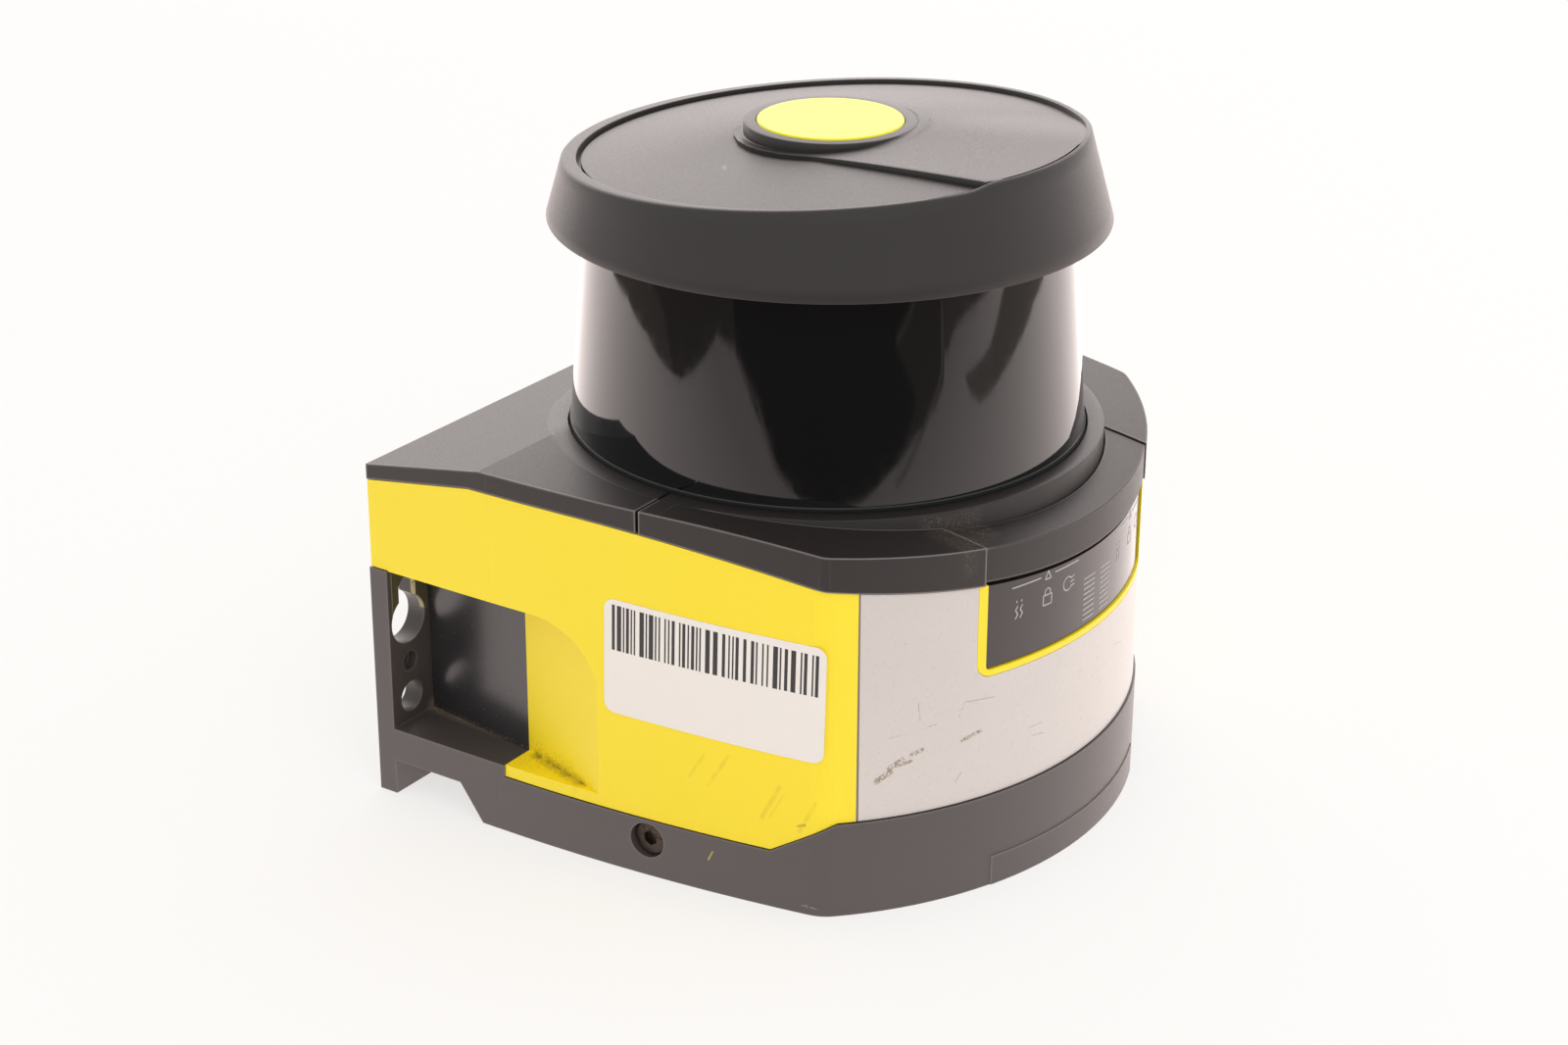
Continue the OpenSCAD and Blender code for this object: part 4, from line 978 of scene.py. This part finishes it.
class SCANNER_OT_rotor(ScannerOperator):
    """Finishes the spinning mirror and its drive."""

    bl_idname = "scanner.rotor"
    bl_label = "Rotor"

    def execute(self, context):
        give_plain({
            "motor_shaft": ("ground_steel_shaft", "#C8CACC", 0.22, 1.0),
            "rotor_bell": ("turned_aluminium_bell", "#8F9295", 0.35, 1.0),
            "rotor_magnet": ("sintered_ferrite", "#3C3D42", 0.6, 0.2),
            "encoder_disc": ("etched_steel_disc", "#C3CBD0", 0.3, 1.0),
            "mirror_carrier": ("black_anodised_carrier", "#2C2D30", 0.45, 0.5),
            "scan_mirror": ("front_coated_mirror", "#DFE5EA", 0.05, 1.0),
        })
        return {"FINISHED"}


class SCANNER_OT_stage(ScannerOperator):
    """Makes the white floor, the lamps, the dark surroundings and the camera."""

    bl_idname = "scanner.stage"
    bl_label = "Stage"

    # Share of the floor's own white in what is seen of it; the rest is lit paper, which keeps the shadow.
    paper_glow = 0.72
    # Direction over the table in which its reflection grows brighter.
    rear_way = (0.766, 0.508, 0)
    # Camera: its focal length in millimetres, its place, and where its right, its top and its back point.
    lens, camera_place = 72.265, (-0.53569, -0.34783, 0.33324)
    right_way, up_way = Vector((0.55613, -0.83109, 0.00415)), Vector((0.32861, 0.22447, 0.91741))
    back_way = Vector((-0.76337, -0.50883, 0.39793))

    def seen_rays(self, tree):
        """1 for what is seen straight, in gloss or through glass, and 0 for the light on the object."""
        path = add(tree, "LightPath")
        seen = either(tree, path.outputs["Is Camera Ray"], path.outputs["Is Transmission Ray"])
        return either(tree, seen, path.outputs["Is Glossy Ray"])

    def flat_card(self, name, corners, material, z):
        mesh = bmesh.new()
        mesh.faces.new([mesh.verts.new((x * MM, y * MM, 0)) for x, y in corners])
        return self.card(name, mesh, material, z)

    def card(self, name, mesh, material, z):
        """Turns a flat drawing into a sheet that lies at a height, in millimetres, over the table."""
        bmesh.ops.translate(mesh, vec=(0, 0, z * MM), verts=mesh.verts[:])
        bmesh.ops.recalc_face_normals(mesh, faces=mesh.faces[:])
        data = bpy.data.meshes.new(name)
        mesh.to_mesh(data)
        mesh.free()
        data.materials.append(material)
        card = bpy.data.objects.new(name, data)
        bpy.context.scene.collection.objects.link(card)
        return card

    def shine(self, name, code, near, far=None):
        """A material that gives off light, even or with another strength towards the rear right."""
        made = bpy.data.materials.new(name)
        made.use_nodes = True
        tree = made.node_tree
        tree.nodes.clear()
        strength = near
        if far is not None:
            where = add(tree, "TexCoord").outputs["Object"]
            along = add(
                tree, "VectorMath", {0: where, 1: self.rear_way}, operation="DOT_PRODUCT"
            ).outputs["Value"]
            strength = add(
                tree, "MapRange",
                {"Value": along, "From Min": -0.35, "From Max": 0.2, "To Min": near, "To Max": far},
                clamp=True,
            ).outputs["Result"]
        light = add(tree, "Emission", {"Color": rgba(linear(code)), "Strength": strength})
        add(tree, "OutputMaterial", {"Surface": light.outputs["Emission"]})
        return made

    def lamp(self, name, place, aim, width, height, power, mirrored=False):
        """Adds a soft box; a mirrored one shows in glossy surfaces and lights nothing else."""
        data = bpy.data.lights.new(name, "AREA")
        data.shape = "RECTANGLE"
        data.size, data.size_y = width, height
        data.energy = power
        data.color = linear("#FFF2EE") if mirrored else (1, 1, 1)
        lamp = bpy.data.objects.new(name, data)
        lamp.location = place
        lamp.rotation_euler = (Vector(aim) - Vector(place)).to_track_quat("-Z", "Y").to_euler()
        bpy.context.scene.collection.objects.link(lamp)
        lamp.visible_camera = False
        lamp.visible_glossy = mirrored
        lamp.visible_diffuse = not mirrored

    def execute(self, context):
        scene = context.scene
        white = bpy.data.materials.new("white_sweep")
        white.use_nodes = True
        tree = white.node_tree
        tree.nodes.clear()
        paper = add(tree, "BsdfDiffuse", {"Color": rgba(linear("#FBF9F7"))})
        bright = add(tree, "Emission", {"Color": rgba(linear("#FFFDFB")), "Strength": 1.0})
        share = overlap(tree, self.seen_rays(tree), self.paper_glow)
        sheet = add(tree, "MixShader", {0: share, 1: paper.outputs["BSDF"], 2: bright.outputs["Emission"]})
        add(tree, "OutputMaterial", {"Surface": sheet.outputs["Shader"]})
        table = [(-3000, -3000), (3000, -3000), (3000, 3000), (-3000, 3000)]
        self.flat_card("floor", table, white, -0.05)
        # Polished surfaces show the lit table, which grows brighter to the rear, and the dim room beyond it.
        glow = self.shine("lit_table", "#FFF2EE", 0.95, 2.6)
        dark, dim = self.shine("dark_room", "#56524F", 1.0), self.shine("dim_room", "#7B716D", 1.0)
        grey, pale = self.shine("grey_wall", "#998C86", 1.0), self.shine("pale_wall", "#BDB0A9", 1.0)
        # Outlines over the table, in millimetres, of what the polished window mirrors.
        # The dark room's core in front of the window.
        core = [
            (-900, 130), (-711, 110), (-608, 73), (-560, 10), (-497, -54), (-424, -112),
            (-369, -166), (-277, -310), (-228, -383), (-207, -427), (-178, -495), (-203, -523),
            (-283, -561), (-307, -568), (-286, -642), (-245, -690), (-400, -3000),
            (-3000, -3000), (-3000, 400),
        ]
        # The dim band beside it.
        band = [
            (-369, -166), (-277, -294), (-236, -373), (-171, -448), (-100, -501), (-71, -536),
            (-64, -694), (-100, -3000), (-500, -3000),
        ]
        # The grey wall between the band and the window's right.
        gap = [
            (-54, -587), (-24, -617), (40, -628), (129, -619), (201, -605), (260, -3000),
            (-200, -3000), (-90, -600),
        ]
        # The dim room at the left.
        left = [
            (-320, 405), (-374, 334), (-431, 262), (-495, 221), (-600, 165), (-612, 75),
            (-711, 105), (-3000, 400), (-2500, 3000),
        ]
        # The grey wall at the far left.
        far_left = [
            (-97, 505), (-214, 476), (-320, 405), (-374, 334), (-412, 285), (-425, 392),
            (-370, 491), (-900, 3000), (-60, 3000),
        ]
        # The pale wall at the right.
        right = [
            (412, -317), (359, -370), (260, -420), (183, -445), (127, -454), (77, -464),
            (42, -492), (23, -529), (149, -520), (271, -552), (500, -900), (900, -600),
            (700, -330),
        ]
        cards = (("lit", table, glow, 0.1), ("band", band, dim, 0.3), ("gap", gap, grey, 0.3),
                 ("left", left, dim, 0.3), ("far_left", far_left, grey, 0.35), ("right", right, pale, 0.3),
                 ("core", core, dark, 0.4))
        mirrored = [self.flat_card(name, corners, material, z) for name, corners, material, z in cards]
        # The pale edges that run along the dark outlines.
        edges = bmesh.new()
        for points in ([(-599, 52), (-533, -39), (-479, -74), (-437, -102), (-396, -141)],
                       [(-245, -690), (-262, -639), (-310, -575)],
                       [(-87, -693), (-78, -619), (-80, -550), (-128, -483), (-166, -431), (-205, -364)]):
            stroke(edges, [(x * MM, y * MM) for x, y in points], 10 * MM)
        mirrored.append(self.card("table_edges", edges, pale, 0.5))
        for card in mirrored:
            card.visible_camera = False
            card.visible_diffuse = False
            card.visible_shadow = False
            card.visible_transmission = False
        world = bpy.data.worlds.new("white_room")
        world.use_nodes = True
        tree = world.node_tree
        tree.nodes.clear()
        seen = self.seen_rays(tree)
        ambient = add(tree, "Background", {"Color": (1, 1, 1, 1), "Strength": 0.63})
        shown = add(tree, "Background", {"Color": (1, 1, 1, 1), "Strength": 1.0})
        mixed = add(tree, "MixShader", {0: seen, 1: ambient.outputs[0], 2: shown.outputs[0]})
        add(tree, "OutputWorld", {"Surface": mixed.outputs[0]})
        scene.world = world
        self.lamp("key", (-0.9, -0.9, 1.3), (0, 0, 0.06), 1.3, 1.3, 9.8)
        self.lamp("fill", (0.9, -0.8, 1.1), (0, 0, 0.06), 1.2, 1.2, 4)
        self.lamp("back", (1.4, 0.92, 1.15), (0, 0, 0.1), 3.6, 2.2, 20)
        self.lamp("back_shine", (1.36, 0.89, 1.12), (0, 0, 0.1), 3.6, 2.2, 52, mirrored=True)
        data = bpy.data.cameras.new("camera")
        data.sensor_width = 36
        data.lens = self.lens
        data.clip_start, data.clip_end = 0.01, 20
        camera = bpy.data.objects.new("camera", data)
        turned = Matrix((self.right_way, self.up_way, self.back_way)).transposed().to_4x4()
        camera.matrix_world = Matrix.Translation(self.camera_place) @ turned
        scene.collection.objects.link(camera)
        scene.camera = camera
        scene.view_settings.view_transform = "Standard"
        return {"FINISHED"}


class SCANNER_PT_panel(bpy.types.Panel):
    """Lists the scanner's operators and settings."""

    bl_label = "Scanner"
    bl_idname = "SCANNER_PT_panel"
    bl_space_type = "VIEW_3D"
    bl_region_type = "UI"
    bl_category = "Scanner"

    def draw(self, context):
        for operator in OPERATORS:
            self.layout.operator(operator.bl_idname)
        for group in (context.scene.scanner_colours, context.scene.scanner_sizes):
            box = self.layout.box()
            for name in group.__annotations__:
                box.prop(group, name)


OPERATORS = (
    SCANNER_OT_connection_unit,
    SCANNER_OT_housing,
    SCANNER_OT_front_label,
    SCANNER_OT_display,
    SCANNER_OT_covers,
    SCANNER_OT_window,
    SCANNER_OT_cap,
    SCANNER_OT_sticker,
    SCANNER_OT_inner_parts,
    SCANNER_OT_rotor,
    SCANNER_OT_stage,
)
CLASSES = (ScannerColours, ScannerSizes, *OPERATORS, SCANNER_PT_panel)


def register():
    for entry in CLASSES:
        bpy.utils.register_class(entry)
    bpy.types.Scene.scanner_colours = bpy.props.PointerProperty(type=ScannerColours)
    bpy.types.Scene.scanner_sizes = bpy.props.PointerProperty(type=ScannerSizes)


def unregister():
    del bpy.types.Scene.scanner_sizes
    del bpy.types.Scene.scanner_colours
    for entry in reversed(CLASSES):
        bpy.utils.unregister_class(entry)


def main():
    """Registers the add-on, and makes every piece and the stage."""
    register()
    for operator in OPERATORS:
        group, name = operator.bl_idname.split(".")
        getattr(getattr(bpy.ops, group), name)()
    bpy.context.view_layer.update()


if __name__ == "__main__":
    main()
